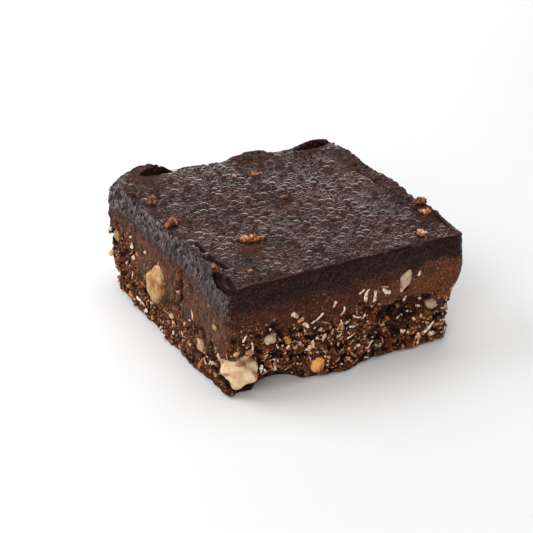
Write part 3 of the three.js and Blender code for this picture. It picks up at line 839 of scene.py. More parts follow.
def make_base():
    """The crumb layer, and its cut faces: their points row by row, normals, roughness, caves."""
    start = side_row(base_distance, junction(RING[:, 0], RING[:, 1]))
    top = junction(start[:, 0], start[:, 1])
    rows = [
        side_row(base_distance, top + (1.1 - top) * j / BASE_ROWS) for j in range(BASE_ROWS + 1)
    ]
    rows += [side_row(base_distance, np.full(len(RING), z)) for z in (0.75, 0.4)]
    sides = np.array(rows)
    count = len(RING)
    over = joint_rings(sides[0], HIDDEN_SHARES[::-1], JOINT_OVERLAP)
    under = [shrunk(sides[-1], share) for share in UNDER_SHARES]
    for ring in under:
        ring[:, 2] = 0
    points = np.vstack([*over, *sides, *under, MIDDLE + [0, 0, junction(0, 0)[0]], MIDDLE])
    row_count = len(over) + len(sides) + len(under)
    quads = stack_faces(0, row_count, count)
    last = (row_count - 1) * count + np.arange(count)
    lid = fan_faces(np.arange(count), len(points) - 2)
    sole = np.stack([np.roll(last, -1), last, np.full(count, len(points) - 1)], 1)
    normals = point_normals(points, quads)
    shown = slice(len(over) * count, (len(over) + len(sides)) * count)
    side_normals = normals[shown].reshape(sides.shape)
    x, y, z = np.moveaxis(sides, -1, 0)
    on_left = smooth_step(0.5, 0.9, -side_normals[..., 0])
    rough = roughness_of(x, y, z, on_left)
    grains, tint = grain_relief(x.shape, 0.29, rough)
    moved = grains - 0.28 * rough
    moved += 0.03 * layered_noise(x / 0.9, y / 0.9, z / 0.9, 82)
    moved += rough * 0.46 * layered_noise(x / 1.9, y / 1.9, z / 1.9, 85)
    moved += (1 - rough) * 0.05 * layered_noise(x / 0.8, y / 0.8, z / 0.8, 86)
    moved -= nut_recess(x, y, z)
    moved += on_left * smooth_step(6, 20, z) * knife_strokes(x, y, z)
    moved *= smooth_step(0, 0.8, junction(x, y) - z)
    moved *= np.where(z < 0.9, smooth_step(-0.2, 0.9, z), 1)
    sides = sides + side_normals * moved[..., None]
    sides[..., 2] = np.maximum(sides[..., 2], 0.02)
    points[shown] = sides.reshape(-1, 3)

    def everywhere(values, elsewhere):
        whole = np.full(len(points), elsewhere, float)
        whole[shown] = values.ravel()
        return whole

    attributes = {
        "cave": everywhere(cave_share(x, y, z), 0.0),
        "tint": everywhere(tint, 0.4),
        "rough": everywhere(rough, 0.8),
        "relief": everywhere(moved, 0.0),
        "left": everywhere(-side_normals[..., 0], 0.0),
        "height_above": points[:, 2] - junction(points[:, 0], points[:, 1]),
    }
    faces = [*quads.tolist(), *lid.tolist(), *sole.tolist()]
    base = mesh_object("crumb_base", points, faces, attributes, sharp_from=65)
    caves = cave_share(*np.moveaxis(sides, -1, 0))
    return base, sides, side_normals, rough, caves


# Lumps, grains and flakes


def unit_ball(divisions):
    """Points and triangles of a ball with even triangles."""
    ball = bmesh.new()
    bmesh.ops.create_icosphere(ball, subdivisions=divisions, radius=1)
    points = np.array([v.co for v in ball.verts])
    faces = np.array([[v.index for v in f.verts] for f in ball.faces])
    ball.free()
    return points, faces


def turns(rng, count):
    """Random turning matrices."""
    q = rng.normal(size=(count, 4))
    a, b, c, d = (q / np.linalg.norm(q, axis=1, keepdims=True)).T
    return np.stack(
        [
            np.stack([1 - 2 * (c * c + d * d), 2 * (b * c - a * d), 2 * (b * d + a * c)], 1),
            np.stack([2 * (b * c + a * d), 1 - 2 * (b * b + d * d), 2 * (c * d - a * b)], 1),
            np.stack([2 * (b * d - a * c), 2 * (c * d + a * b), 1 - 2 * (b * b + c * c)], 1),
        ],
        1,
    )


def grains_mesh(name, middles, radii, shades, rng, crag, thin=0.6):
    """One mesh of angular grains, each closed, with a shade of its own."""
    ball, faces = unit_ball(2)
    count, size = len(middles), len(ball)
    seeds = rng.uniform(0, 90, (count, 1, 3))
    at = np.moveaxis(ball[None] * 1.6 + seeds, -1, 0)
    lumpy = 1 + crag * noise(*at, 91)
    lumpy += 0.5 * crag * noise(*(at * 2), 92)
    shape = rng.uniform(thin, 1.0, (count, 1, 3))
    local = ball[None] * lumpy[..., None] * shape * radii[:, None, None]
    points = np.einsum("nij,npj->npi", turns(rng, count), local) + middles[:, None]
    all_faces = (faces[None] + (np.arange(count) * size)[:, None, None]).reshape(-1, 3)
    tint = np.repeat(shades, size)
    return mesh_object(name, points.reshape(-1, 3), all_faces.tolist(), {"tint": tint})


def pick_on_sides(rng, number, weights):
    """Grid places on the cut faces, drawn by weight."""
    chance = weights.ravel() / weights.sum()
    return rng.choice(weights.size, size=number, replace=False, p=chance)


def scatter_grains(name, seed, number, sides, normals, weights, radius, deepest, **form):
    """Grains half sunk in the cut faces. Their radius is the least one, and a spread and its
    power."""
    rng = np.random.default_rng(seed)
    chosen = pick_on_sides(rng, number, weights)
    least, spread, power = radius
    radii = least + spread * rng.random(number) ** power
    depth = radii * rng.uniform(deepest, 0.1, number)
    middles = sides.reshape(-1, 3)[chosen] + normals.reshape(-1, 3)[chosen] * depth[:, None]
    middles[:, 2] = np.maximum(middles[:, 2], radii * 1.2)
    return grains_mesh(name, middles, radii, rng.random(number), rng, **form)


def make_crumb_grains(sides, normals, rough, caves):
    """Loose-edged grains of crumb in the coarse parts of the cut faces."""
    weights = rough**2 * (sides[..., 2] > 0.9) * (1.0 - 0.85 * caves)
    radius = (0.28, 0.5, 2)
    return scatter_grains(
        "crumb_grains", 23, 1700, sides, normals, weights, radius, -0.55, crag=0.45
    )


def make_nut_chips(sides, normals, rough, caves):
    """Small chips of nut in the cut faces."""
    weights = (0.25 + rough) * (sides[..., 2] > 1.2) * (sides[..., 2] < 18)
    weights *= 1.0 - caves
    radius = (0.22, 0.8, 2.8)
    return scatter_grains(
        "nut_chips", 29, 330, sides, normals, weights, radius, -0.5, crag=0.5, thin=0.3
    )


FLAKE_STEPS = 10
FLAKE_SIDES = 8
FLAKE_RAGGED = 0.95
SMALL_FLAKE_NUMBER = 900


def flake_points(length, width, thickness, bend, twist, seed):
    """Points of one curved shred that lies along X, its flat side towards Z."""
    t = np.linspace(-0.5, 0.5, FLAKE_STEPS)
    around = np.arange(FLAKE_SIDES) / FLAKE_SIDES * 2 * np.pi
    taper = np.sqrt(np.clip(1 - (2 * t) ** 6, 0.05, 1))
    taper = taper * (1 + FLAKE_RAGGED * noise(t * 8 + seed, 0.5, 0.5, 93))
    sway = 0.28 * width * noise(t * 4 + seed, 3.5, 0.5, 94)[:, None]
    across = np.cos(around)[None] * (width / 2 * taper)[:, None]
    thick = np.sin(around)[None] * (thickness / 2 * np.sqrt(taper))[:, None]
    turn = (twist * t)[:, None]
    y = across * np.cos(turn) - thick * np.sin(turn) + sway
    z = across * np.sin(turn) + thick * np.cos(turn) + 0.6 * sway
    angle = (bend * t)[:, None]
    radius = length / max(abs(bend), 0.05)
    sign = 1 if bend >= 0 else -1
    x = (radius - sign * y) * np.sin(np.abs(angle)) * np.sign(t)[:, None]
    y = sign * (radius - (radius - sign * y) * np.cos(angle))
    return np.stack([x, y, z], -1).reshape(-1, 3)


def flake_faces():
    """Faces of one closed shred."""
    rows = np.arange(FLAKE_STEPS * FLAKE_SIDES).reshape(FLAKE_STEPS, FLAKE_SIDES)
    faces = [f[::-1] for j in range(FLAKE_STEPS - 1) for f in ring_faces(rows[j], rows[j + 1])]
    faces = [list(f) for f in faces]
    return [*faces, list(rows[0][::-1]), list(rows[-1])]


UPWARD = np.array([0, 0, 1.0])
# The cut faces: their level and outward directions
FACES = {
    "front": (np.array([1.0, 0, 0]), np.array([0, -1.0, 0])),
    "right": (np.array([0, 1.0, 0]), np.array([1.0, 0, 0])),
    "back": (np.array([-1.0, 0, 0]), np.array([0, 1.0, 0])),
    "left": (np.array([0, -1.0, 0]), np.array([-1.0, 0, 0])),
}


def on_face(name, along, up):
    """The place on a cut face that is so far along and up it."""
    level, away = FACES[name]
    start = np.abs(level) * along + away * 42 + UPWARD * up
    return first_hits(base_distance, start[None], -away[None], 16)[0]


def make_flakes(sides, normals, rough, caves):
    """Shreds of coconut in the cut faces: those that stand out, and many small ones."""
    rng = np.random.default_rng(37)
    shreds = []
    shown = [(face, *flake) for face, flakes in SHOWN_FLAKES.items() for flake in flakes]
    for face, along, up, length, width, turn, bend, shade in shown:
        level, away = FACES[face]
        angle = np.radians(turn)
        direction = level * np.cos(angle) + UPWARD * np.sin(angle)
        spot = on_face(face, along, up) + away * 0.15
        facing = away + 0.35 * rng.normal(size=3)
        shreds.append((spot, direction, facing, length, 0.85 * width, 0.3, 1.2 * bend, shade))
    flat = sides.reshape(-1, 3)
    heights = sides[..., 2]
    weights = (0.12 + rough) * (heights > 1.0) * (heights < 17.5) * smooth_step(19, 12, heights)
    weights = weights * (1 - 0.65 * smooth_step(0.5, 0.9, -normals[..., 0]))
    weights *= 1.0 - caves
    for i in pick_on_sides(rng, SMALL_FLAKE_NUMBER, weights):
        away = normals.reshape(-1, 3)[i]
        direction = np.cross(away, rng.normal(size=3))
        direction /= np.linalg.norm(direction)
        facing = away + 1.3 * rng.normal(size=3)
        length = 0.6 + 2.6 * rng.random() ** 3
        width = rng.uniform(0.35, 0.95)
        spot = flat[i] + away * rng.uniform(-0.3, 0.12)
        spot[2] = max(spot[2], 0.6 + 0.3 * length)
        bend = rng.uniform(-2.2, 2.2)
        shade = rng.random() * (1 - 0.35 * (away[0] < -0.6))
        shreds.append((spot, direction, facing, length, width, 0.28, bend, shade))
    points, faces, tint = [], [], []
    for number, (spot, direction, facing, length, width, thick, bend, shade) in enumerate(shreds):
        local = flake_points(length, width, thick, bend, rng.uniform(-0.9, 0.9), number)
        x = direction / np.linalg.norm(direction)
        z = facing - x * (facing @ x)
        z /= np.linalg.norm(z)
        y = np.cross(z, x)
        points.append(spot + local @ np.stack([x, y, z]))
        faces += [[v + number * len(local) for v in f] for f in flake_faces()]
        tint += [shade] * len(local)
    return mesh_object("coconut_flakes", np.vstack(points), faces, {"tint": tint})


def make_top_crumbs(top):
    """Crumbs that fell on the ganache, each a cluster of small grains."""
    rng = np.random.default_rng(41)
    middles, radii, shades = [], [], []
    for (x, y), (rx, ry, rz), turn, number, pale in TOP_CRUMBS:
        c, s = np.cos(np.radians(turn)), np.sin(np.radians(turn))
        for _ in range(number):
            a, b, h = rng.normal(size=3)
            scale = rng.random() ** 0.4 / np.sqrt(a * a + b * b + h * h)
            dx, dy = a * scale * rx * 0.8, b * scale * ry * 0.8
            px, py = x + c * dx - s * dy, y + s * dx + c * dy
            size = rng.uniform(0.2, 0.62) * (0.6 + 0.4 * min(rx, ry))
            ground = sample(*top, np.array([px]), np.array([py]))[0]
            middles.append([px, py, ground + size * 0.4 + rz * (0.5 + 0.5 * h * scale)])
            radii.append(size)
            # Painted shade: a crumb's lower grains are darker and its upper ones paler
            shades.append(np.clip(pale + 0.45 * h * scale + 0.12 * rng.normal(), 0, 1))
    middles, radii, shades = (np.array(values) for values in (middles, radii, shades))
    return grains_mesh("top_crumbs", middles, radii, shades, rng, crag=0.6, thin=0.35)


def make_nut(name, middle, half_sizes, angles, lumpiness, seed):
    """A piece of nut: a lumpy ball with broken facets and fine wrinkles."""
    ball, faces = unit_ball(5)
    p = (ball * 1.7 + 9).T
    share = 1 + lumpiness * 1.6 * noise(*p, seed)
    share += 0.05 * layered_noise(*(ball * 4 + seed).T, seed + 1)
    share -= 0.05 * np.abs(noise(*(p * 1.6), seed + 3))
    matrix = np.array(Euler(np.radians(angles)).to_matrix())
    turned = (ball * np.array(half_sizes)) @ matrix.T
    length = np.linalg.norm(turned, axis=1, keepdims=True)
    placed = turned * (share * NUT_CORES.get(name, 1))[:, None]
    dented = 0
    for direction, reach, width in NUT_LOBES.get(name, []):
        aim = np.array(direction) / np.linalg.norm(direction)
        angle = np.arccos(np.clip(turned @ aim / length[:, 0], -1, 1))
        bump = reach * np.exp(-((angle / width) ** 2))
        placed += turned / length * bump[:, None]
        dented = dented + np.maximum(-bump, 0)
    placed += np.array(middle)
    stain = noise(*(placed / 1.5).T, seed + 2) + 0.9 * dented
    return mesh_object(name + "_piece", placed, faces.tolist(), {"stain": stain})


# Materials


class Nodes:
    """Nodes of a material or of the world, under construction."""

    def __init__(self, tree):
        self.tree = tree

    def put(self, socket, value):
        if isinstance(value, bpy.types.NodeSocket):
            self.tree.links.new(value, socket)
        else:
            socket.default_value = value

    def node(self, kind, inputs=(), output=0, **settings):
        made = self.tree.nodes.new(kind)
        for key, value in settings.items():
            setattr(made, key, value)
        for key, value in dict(inputs).items():
            self.put(made.inputs[key], value)
        return made.outputs[output]

    def ramp(self, value, stops):
        """A colour, or a grey from one number, by how far along its stops a value is."""
        made = self.tree.nodes.new("ShaderNodeValToRGB")
        elements = made.color_ramp.elements
        while len(elements) < len(stops):
            elements.new(0.5)
        for element, (at, colour) in zip(elements, stops):
            element.position = at
            element.color = (*colour, 1) if len(np.shape(colour)) else (colour,) * 3 + (1,)
        self.put(made.inputs["Fac"], value)
        return made.outputs["Color"]

    def step(self, value, low, high, to_low=0.0, to_high=1.0):
        inputs = {
            "Value": value,
            "From Min": low,
            "From Max": high,
            "To Min": to_low,
            "To Max": to_high,
        }
        return self.node("ShaderNodeMapRange", inputs, clamp=True)

    def math(self, operation, a, b):
        return self.node("ShaderNodeMath", {0: a, 1: b}, operation=operation)

    def plus(self, a, b):
        return self.math("ADD", a, b)

    def times(self, a, b):
        return self.math("MULTIPLY", a, b)

    def mix(self, share, a, b):
        made = self.tree.nodes.new("ShaderNodeMix")
        made.data_type = "RGBA"
        self.put(made.inputs[0], share)
        for socket, value in ((made.inputs[6], a), (made.inputs[7], b)):
            self.put(socket, value if isinstance(value, bpy.types.NodeSocket) else (*value, 1))
        return made.outputs[2]


class Shader(Nodes):
    """A material under construction: a Principled surface and the nodes that feed it."""

    def __init__(self, name):
        self.material = bpy.data.materials.new(name)
        self.material.use_nodes = True
        super().__init__(self.material.node_tree)
        self.surface = self.tree.nodes["Principled BSDF"]

    def set(self, **values):
        for key, value in values.items():
            self.put(self.surface.inputs[key.replace("_", " ")], value)

    def attribute(self, name):
        return self.node("ShaderNodeAttribute", output="Fac", attribute_name=name)

    def scaled_place(self, scale):
        at = self.node("ShaderNodeTexCoord", output="Object")
        return self.node("ShaderNodeVectorMath", {0: at, 1: scale}, operation="MULTIPLY")

    def place(self, axis):
        """A coordinate in millimetres."""
        at = self.scaled_place((1000, 1000, 1000))
        return self.node("ShaderNodeSeparateXYZ", {0: at}, output=axis)

    def noise(self, size, detail=3.0, roughness=0.55, stretch=(1, 1, 1)):
        at = self.scaled_place(tuple(1000 / size / s for s in stretch))
        inputs = {"Vector": at, "Scale": 1.0, "Detail": detail, "Roughness": roughness}
        return self.node("ShaderNodeTexNoise", inputs, output="Fac")

    def bump(self, height, distance_mm, strength=1.0, after=None):
        inputs = {"Height": height, "Distance": distance_mm * MM, "Strength": strength}
        if after is not None:
            inputs["Normal"] = after
        return self.node("ShaderNodeBump", inputs)


GANACHE_DARK = (0.036, 0.0135, 0.0095)
# Painted shade between the folds of the left face
FOLD_SHADE_BLACK = (0.010, 0.0045, 0.0035)
# Near black for random dark specks, and for painted shade in the top's sunk places
SPECK_AND_SHADE_BLACK = (0.003, 0.0018, 0.0016)
# Painted shade where the top turns down from level
SLOPE_SHADE_BLACK = (0.012, 0.0055, 0.0042)
# Painted shade in the scoops and the bite
GLOSS_SHADE_BLACK = (0.006, 0.003, 0.0022)
GLOSS_SHADE_DARK = (0.018, 0.007, 0.0045)
TOP_DARK = (0.027, 0.0105, 0.0074)
TOP_REDDISH = (0.050, 0.0165, 0.0105)
CREASE_RED = (0.10, 0.026, 0.012)
# Painted sheen on the ridges of the left face's folds
PAINTED_SHEEN_GREY = (0.210, 0.165, 0.150)
BROWN = (0.082, 0.025, 0.0105)
BROWN_LIGHT = (0.215, 0.070, 0.029)
FLECK_BROWN = (0.26, 0.10, 0.045)
# Painted shade in pits, recesses and caves
CAVE_SHADE_BLACK = (0.006, 0.0025, 0.0016)
CRUMB_DARK = (0.018, 0.006, 0.0028)
CRUMB_BROWN = (0.084, 0.021, 0.0065)
CRUMB_MIDDLE = (0.14, 0.042, 0.015)
CRUMB_ORANGE = (0.36, 0.105, 0.028)
SPECK_ORANGE = (0.42, 0.125, 0.032)
# Pale specks, partly cream bits and partly painted glints
PALE_SPECK_AND_GLINT = (0.72, 0.50, 0.34)
FLAKE_STAIN = (0.42, 0.145, 0.045)
FLOOR_GREYS = (0.64, 0.64, 0.64), (0.66, 0.66, 0.66)
SHEEN_GREY = (0.88, 0.88, 0.9, 1)
# Cocoa darkens what it reflects straight back, and not what glances off it
COCOA_TINT = (0.31, 0.18, 0.15, 1)

# Colours by shade, from 0 to 1
CRUMB_COLOURS = [(0.0, CRUMB_DARK), (0.5, CRUMB_BROWN), (0.85, CRUMB_MIDDLE), (1.0, CRUMB_ORANGE)]
GRAIN_COLOURS = [
    (0.0, CRUMB_DARK),
    (0.5, CRUMB_BROWN),
    (0.8, CRUMB_MIDDLE),
    (0.93, CRUMB_ORANGE),
    (1.0, (0.58, 0.27, 0.10)),
]
CHIP_COLOURS = [(0.0, (0.34, 0.13, 0.04)), (0.5, (0.55, 0.30, 0.12)), (1.0, (0.80, 0.60, 0.40))]
TOP_CRUMB_COLOURS = [
    (0.0, (0.03, 0.012, 0.008)),
    (0.35, (0.12, 0.034, 0.012)),
    (0.6, (0.38, 0.105, 0.027)),
    (0.8, (0.55, 0.25, 0.10)),
    (1.0, (0.72, 0.45, 0.30)),
]
FLAKE_COLOURS = [
    (0.0, (0.26, 0.11, 0.05)),
    (0.3, (0.50, 0.28, 0.16)),
    (0.6, (0.78, 0.58, 0.42)),
    (1.0, (0.92, 0.82, 0.70)),
]

# Nut colours: light, deep and the brown of skin and cocoa on it
NUT_COLOURS = {
    "dusty": ((0.50, 0.31, 0.16), (0.34, 0.18, 0.08), (0.17, 0.055, 0.02)),
    "cream": ((0.74, 0.56, 0.36), (0.60, 0.40, 0.22), (0.30, 0.10, 0.03)),
    "amber": ((0.44, 0.27, 0.10), (0.38, 0.18, 0.045), (0.26, 0.09, 0.025)),
    "tan": ((0.84, 0.42, 0.11), (0.72, 0.31, 0.07), (0.40, 0.14, 0.035)),
    "grey": ((0.52, 0.38, 0.26), (0.40, 0.26, 0.16), (0.22, 0.09, 0.04)),
}


def on_left(s):
    """1 where the surface faces left, on the left cut face, and 0 elsewhere."""
    return s.step(s.attribute("left"), 0.4, 0.9)


def knife_folds(s):
    """Long folds of a cut face, drawn out by the knife."""
    return s.noise(0.55, 3, 0.7, stretch=(3, 1, 2.6))


def layer_colour(s):
    """Dark ganache that turns brown downwards, through the joint. The left face is painted paler for
    its light, with a painted grey sheen on its fold ridges and painted shade between them.
    """
    high = s.attribute("height_above")
    brown = s.step(s.plus(high, s.step(s.noise(6, 4), 0.3, 0.7, -1.3, 1.3)), 1.5, -1.9)
    # The brown is paler towards the right, and painted paler on the left face for the light that falls
    # on it
    side = s.step(s.attribute("left"), 0.4, 0.9, 0, 0.2)
    paler = s.plus(s.step(s.place("X"), 2, 24, 0.0, 0.3), side)
    light = s.step(s.plus(s.noise(2.4, 5, 0.65), paler), 0.44, 0.66)
    colour = s.mix(brown, GANACHE_DARK, s.mix(light, BROWN, BROWN_LIGHT))
    dark = s.step(s.noise(0.4, 2, 0.5), 0.43, 0.53)
    colour = s.mix(s.times(dark, s.step(brown, 0, 1, 0.97, 0.6)), colour, SPECK_AND_SHADE_BLACK)
    folds, left = knife_folds(s), on_left(s)
    # Painted shade in the hollows between the left face's folds, above the joint
    hollow = s.times(s.step(folds, 0.51, 0.45), s.step(high, -2.5, 0.5, 0.25, 0.85))
    colour = s.mix(s.times(hollow, left), colour, FOLD_SHADE_BLACK)
    # Painted sheen: a grey on the ridges of the left face's folds, stronger towards the back
    reach = s.times(s.step(high, -2, 2.5), s.step(s.place("Y"), -34, 10, 0.6, 1.0))
    painted_sheen = s.times(s.times(s.step(folds, 0.5, 0.58), reach), left)
    return s.mix(painted_sheen, colour, PAINTED_SHEEN_GREY), brown


def cut_skin(s):
    """Roughness and bump of a face that the knife has smoothed, wrinkled on the left."""
    left = on_left(s)
    high, back = s.step(s.attribute("height_above"), -2, 4), s.step(s.place("Y"), -34, 12, 0.3, 1.0)
    sheen = s.times(s.times(s.times(high, back), left), 0.16)
    roughness = s.math("SUBTRACT", s.step(s.noise(3, 4), 0.3, 0.7, 0.42, 0.6), sheen)
    wrinkles = s.bump(s.times(knife_folds(s), left), 0.8)
    return roughness, s.bump(s.noise(0.42, 2, 0.6), 0.3, 1.0, wrinkles)


def finish_cocoa(s, colour, roughness, skin, specular, sheen=False):
    """Completes a cocoa surface. What is the same all over goes on the shader's own sockets."""
    s.set(Base_Color=colour, Roughness=roughness, Normal=skin, IOR=1.46)
    s.set(Specular_IOR_Level=specular, Specular_Tint=COCOA_TINT)
    if sheen:
        s.set(Sheen_Weight=0.03, Sheen_Roughness=0.4, Sheen_Tint=SHEEN_GREY)
    return s.material


def ganache_top_material():
    s = Shader("ganache_top")
    reddish = s.step(s.noise(12, 3), 0.45, 0.62)
    colour = s.mix(s.times(reddish, 0.8), TOP_DARK, TOP_REDDISH)
    # Painted shade: the top's sunk places, its grooves, slits and pores and the bubbles' feet and
    # hollows, are darkened to near black
    low = s.step(s.attribute("relief"), -0.05, -0.4)
    colour = s.mix(low, colour, SPECK_AND_SHADE_BLACK)
    # Painted shade: where the top turns down from level, at its edges, it is darkened
    colour = s.mix(s.step(s.attribute("up"), 0.97, 0.8), colour, SLOPE_SHADE_BLACK)
    red = s.times(s.attribute("crease"), s.step(s.noise(0.9, 3, 0.7), 0.45, 0.6, 0.1, 0.9))
    colour = s.mix(red, colour, CREASE_RED)
    roughness = s.step(s.noise(9, 4), 0.35, 0.65, 0.27, 0.39)
    roughness = s.math("MAXIMUM", roughness, s.step(low, 0, 1, 0.27, 0.65))
    skin = s.bump(s.noise(0.6, 2, 0.5), 0.05, 0.4)
    return finish_cocoa(s, colour, roughness, skin, 0.52)


def ganache_cut_material():
    s = Shader("ganache_cut")
    colour, brown = layer_colour(s)
    fleck = s.plus(s.noise(0.6, 2), s.step(s.place("X"), 0, 26, 0.0, 0.1))
    speck = s.times(s.step(fleck, 0.61, 0.67), s.step(brown, 0, 1, 0.03, 0.9))
    colour = s.mix(speck, colour, FLECK_BROWN)
    return finish_cocoa(s, colour, *cut_skin(s), 0.35, sheen=True)


def ganache_gloss_material():
    """Glossy ganache in the scoops and the bite, coloured near black as painted shade in these
    hollows.
    """
    s = Shader("ganache_gloss")
    colour = s.mix(s.step(s.noise(1.5, 3), 0.4, 0.6), GLOSS_SHADE_BLACK, GLOSS_SHADE_DARK)
    return finish_cocoa(s, colour, 0.16, s.bump(s.noise(1.6, 3), 0.25, 0.7), 0.12)


def crumb_material():
    """Coarse crumb, with smooth brown between it where the knife has pressed it."""
    s = Shader("crumb")
    rough = s.attribute("rough")
    smooth_colour, _ = layer_colour(s)
    colour = s.mix(rough, smooth_colour, s.ramp(s.attribute("tint"), CRUMB_COLOURS))
    mottle = s.times(s.step(s.noise(1.2, 5, 0.72), 0.52, 0.42), rough)
    colour = s.mix(s.times(mottle, 0.85), colour, CRUMB_DARK)
    fleck = s.noise(0.5, 3, 0.65)
    speck = s.times(s.step(fleck, 0.56, 0.62), s.step(rough, 0.1, 0.6, 0, 0.9))
    speck = s.math("MAXIMUM", speck, s.times(s.step(fleck, 0.63, 0.68), 0.8))
    colour = s.mix(speck, colour, SPECK_ORANGE)
    # Pale specks in the crumb, partly cream bits and partly painted glints
    pale = s.times(s.step(s.noise(0.75, 3, 0.6), 0.635, 0.67), s.step(rough, 0, 0.4, 0.3, 1))
    colour = s.mix(pale, colour, PALE_SPECK_AND_GLINT)
    # Painted shade: pits, the recesses round the nuts and the caves are darkened to near black
    low = s.math("MAXIMUM", s.step(s.attribute("relief"), 0.08, -0.32), s.attribute("cave"))
    colour = s.mix(s.times(low, 0.96), colour, CAVE_SHADE_BLACK)
    roughness, skin = cut_skin(s)
    roughness = s.math("MAXIMUM", roughness, s.step(rough, 0, 0.4, 0.3, 0.52))
    fine = s.bump(s.noise(0.8, 5, 0.7), 0.4, 0.9, skin)
    return finish_cocoa(s, colour, roughness, fine, 0.27, sheen=True)


def grain_material(name, colours, roughness=0.6):
    s = Shader(name)
    dusty = s.step(s.noise(0.6, 3), 0.45, 0.7, 0, 0.6)
    colour = s.mix(dusty, s.ramp(s.attribute("tint"), colours), CRUMB_DARK)
    fine = s.bump(s.noise(0.25, 3, 0.6), 0.08, 0.8)
    s.set(Base_Color=colour, Roughness=roughness, Normal=fine, IOR=1.45, Specular_IOR_Level=0.35)
    return s.material


def flake_material():
    s = Shader("coconut")
    stain = s.times(s.step(s.noise(0.9, 3, 0.65), 0.46, 0.58), 0.85)
    colour = s.mix(stain, s.ramp(s.attribute("tint"), FLAKE_COLOURS), FLAKE_STAIN)
    fibres = s.bump(s.noise(0.2, 2, 0.5), 0.04, 0.6)
    s.set(Base_Color=colour, Roughness=0.5, Normal=fibres, IOR=1.45, Subsurface_Weight=0.15)
    s.set(Subsurface_Radius=(0.9, 0.6, 0.35), Subsurface_Scale=0.6 * MM)
    return s.material


def nut_material(kind):
    light, deep, brown = NUT_COLOURS[kind]
    s = Shader("nut_" + kind)
    colour = s.mix(s.step(s.noise(2.2, 3), 0.35, 0.65), light, deep)
    stain = s.times(s.step(s.attribute("stain"), 0.25, 0.6), 0.8)
    speck = s.times(s.step(s.noise(0.7, 3, 0.6), 0.56, 0.68), 0.5)
    colour = s.mix(s.math("MAXIMUM", stain, speck), colour, brown)
    fine = s.bump(s.noise(1.3, 3, 0.5), 0.3, 0.7)
    fine = s.bump(s.noise(0.3, 2), 0.03, 0.5, fine)
    s.set(Base_Color=colour, Roughness=0.2, Normal=fine, IOR=1.47, Subsurface_Weight=0.35)
    s.set(Subsurface_Radius=(1.0, 0.6, 0.3), Subsurface_Scale=1.2 * MM)
    return s.material


def floor_material():
    s = Shader("floor")
    tone = s.step(s.noise(400, 2), 0.3, 0.7)
    s.set(Base_Color=s.mix(tone, *FLOOR_GREYS), Roughness=0.8)
    return s.material


# The stage


def camera_axes():
    a, e = CAMERA_AZIMUTH, CAMERA_ELEVATION
    back = np.array([np.sin(a) * np.cos(e), -np.cos(a) * np.cos(e), np.sin(e)])
    level = np.array([np.cos(a), np.sin(a), 0])
    upright = np.cross(back, level)
    c, s = np.cos(CAMERA_ROLL), np.sin(CAMERA_ROLL)
    return level * c + upright * s, upright * c - level * s, back


def add_camera():
    right, up, back = camera_axes()
    place = back * CAMERA_DISTANCE + CAMERA_SHIFT[0] * right + CAMERA_SHIFT[1] * up - MIDDLE
    camera = bpy.data.objects.new("camera", bpy.data.cameras.new("camera"))
    camera.data.sensor_width = SENSOR_MM
    camera.data.lens = FOCAL_PIXELS / FRAME_PIXELS * SENSOR_MM
    camera.data.clip_start = 0.01
    axes = Matrix([[right[i], up[i], back[i], place[i] * MM] for i in range(3)] + [[0, 0, 0, 1]])
    camera.matrix_world = axes
    bpy.context.collection.objects.link(camera)
    bpy.context.scene.camera = camera


COOL_WHITE = (0.97, 0.985, 1.0)
NEUTRAL_WHITE = (1.0, 0.99, 0.98)
WARM_WHITE = (1.0, 0.985, 0.97)
LIGHT_AIM = Vector((0, 0, 0.012))
# Lights, in metres and watts: name, place, size, power, colour
LIGHTS = [
    ("key_soft", (-0.34, 0.30, 0.40), (0.40, 0.40), 2.6, COOL_WHITE),
    ("top_soft", (0.10, 0.10, 0.60), (0.5, 0.5), 2.3, NEUTRAL_WHITE),
    ("fill_soft", (-0.45, -0.42, 0.36), (0.4, 0.4), 2.6, WARM_WHITE),
    ("back_strip", (0.34, 0.60, 0.10), (0.8, 0.10), 2.8, COOL_WHITE),
]
# Brightness of the studio by height, from straight down to straight up
SKY = [(0.0, 0.3), (0.5, 0.8), (0.57, 0.7), (0.64, 0.2), (0.85, 0.25), (1.0, 0.6)]
FLOOR_HALF = 3.0


def add_light(name, place, size, power, colour):
    light = bpy.data.lights.new(name, "AREA")
    light.shape = "RECTANGLE"
    light.size, light.size_y = size
    light.energy = power
    light.color = colour
    lamp = bpy.data.objects.new(name, light)
    lamp.location = place
    lamp.rotation_euler = (LIGHT_AIM - Vector(place)).to_track_quat("-Z", "Y").to_euler()
    lamp.visible_camera = False
    bpy.context.collection.objects.link(lamp)


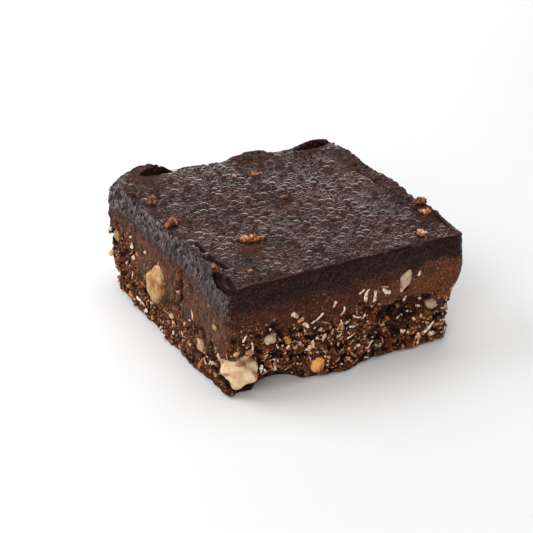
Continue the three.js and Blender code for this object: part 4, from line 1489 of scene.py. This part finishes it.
def add_world():
    world = bpy.data.worlds.new("studio")
    world.use_nodes = True
    s = Nodes(world.node_tree)
    direction = s.node("ShaderNodeTexCoord", output="Generated")
    height = s.step(s.node("ShaderNodeSeparateXYZ", {0: direction}, output="Z"), -1, 1)
    s.put(s.tree.nodes["Background"].inputs["Color"], s.ramp(height, SKY))
    bpy.context.scene.world = world


def add_stage():
    corners = np.array([(-1, -1, 0), (1, -1, 0), (1, 1, 0), (-1, 1, 0)]) * FLOOR_HALF
    floor = mesh_object("floor", corners / MM, [[0, 1, 2, 3]], centred=False)
    floor.data.materials.append(floor_material())
    add_world()
    for light in LIGHTS:
        add_light(*light)
    bpy.context.scene.view_settings.view_transform = "Standard"


# Everything

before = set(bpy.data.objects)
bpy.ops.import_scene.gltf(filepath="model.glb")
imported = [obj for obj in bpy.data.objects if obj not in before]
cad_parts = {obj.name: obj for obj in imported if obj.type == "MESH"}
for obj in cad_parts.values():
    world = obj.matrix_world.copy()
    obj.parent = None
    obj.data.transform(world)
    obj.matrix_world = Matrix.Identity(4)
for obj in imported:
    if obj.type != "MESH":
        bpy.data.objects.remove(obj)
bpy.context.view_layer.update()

add_camera()
add_stage()

top = map_top()
top_material = ganache_top_material()
layer = place_piece(make_ganache(), top_material, ["ganache"])
layer.data.materials.append(ganache_cut_material())
layer.data.materials.append(ganache_gloss_material())
for bubbles in make_bubbles(top):
    place_piece(bubbles, top_material)

base, *cut_faces = make_base()
place_piece(base, crumb_material(), ["base"])
place_piece(make_crumb_grains(*cut_faces), grain_material("grains", GRAIN_COLOURS))
place_piece(make_nut_chips(*cut_faces), grain_material("chips", CHIP_COLOURS, 0.45))
place_piece(make_flakes(*cut_faces), flake_material())
place_piece(make_top_crumbs(top), grain_material("top_crumbs", TOP_CRUMB_COLOURS))

nut_materials = {kind: nut_material(kind) for kind in NUT_COLOURS}
for name, middle, half_sizes, angles, lumpiness, seed, kind in NUTS:
    nut = make_nut(name, middle, half_sizes, angles, lumpiness, seed)
    place_piece(nut, nut_materials[NUT_LOOKS.get(name, kind)], [name])
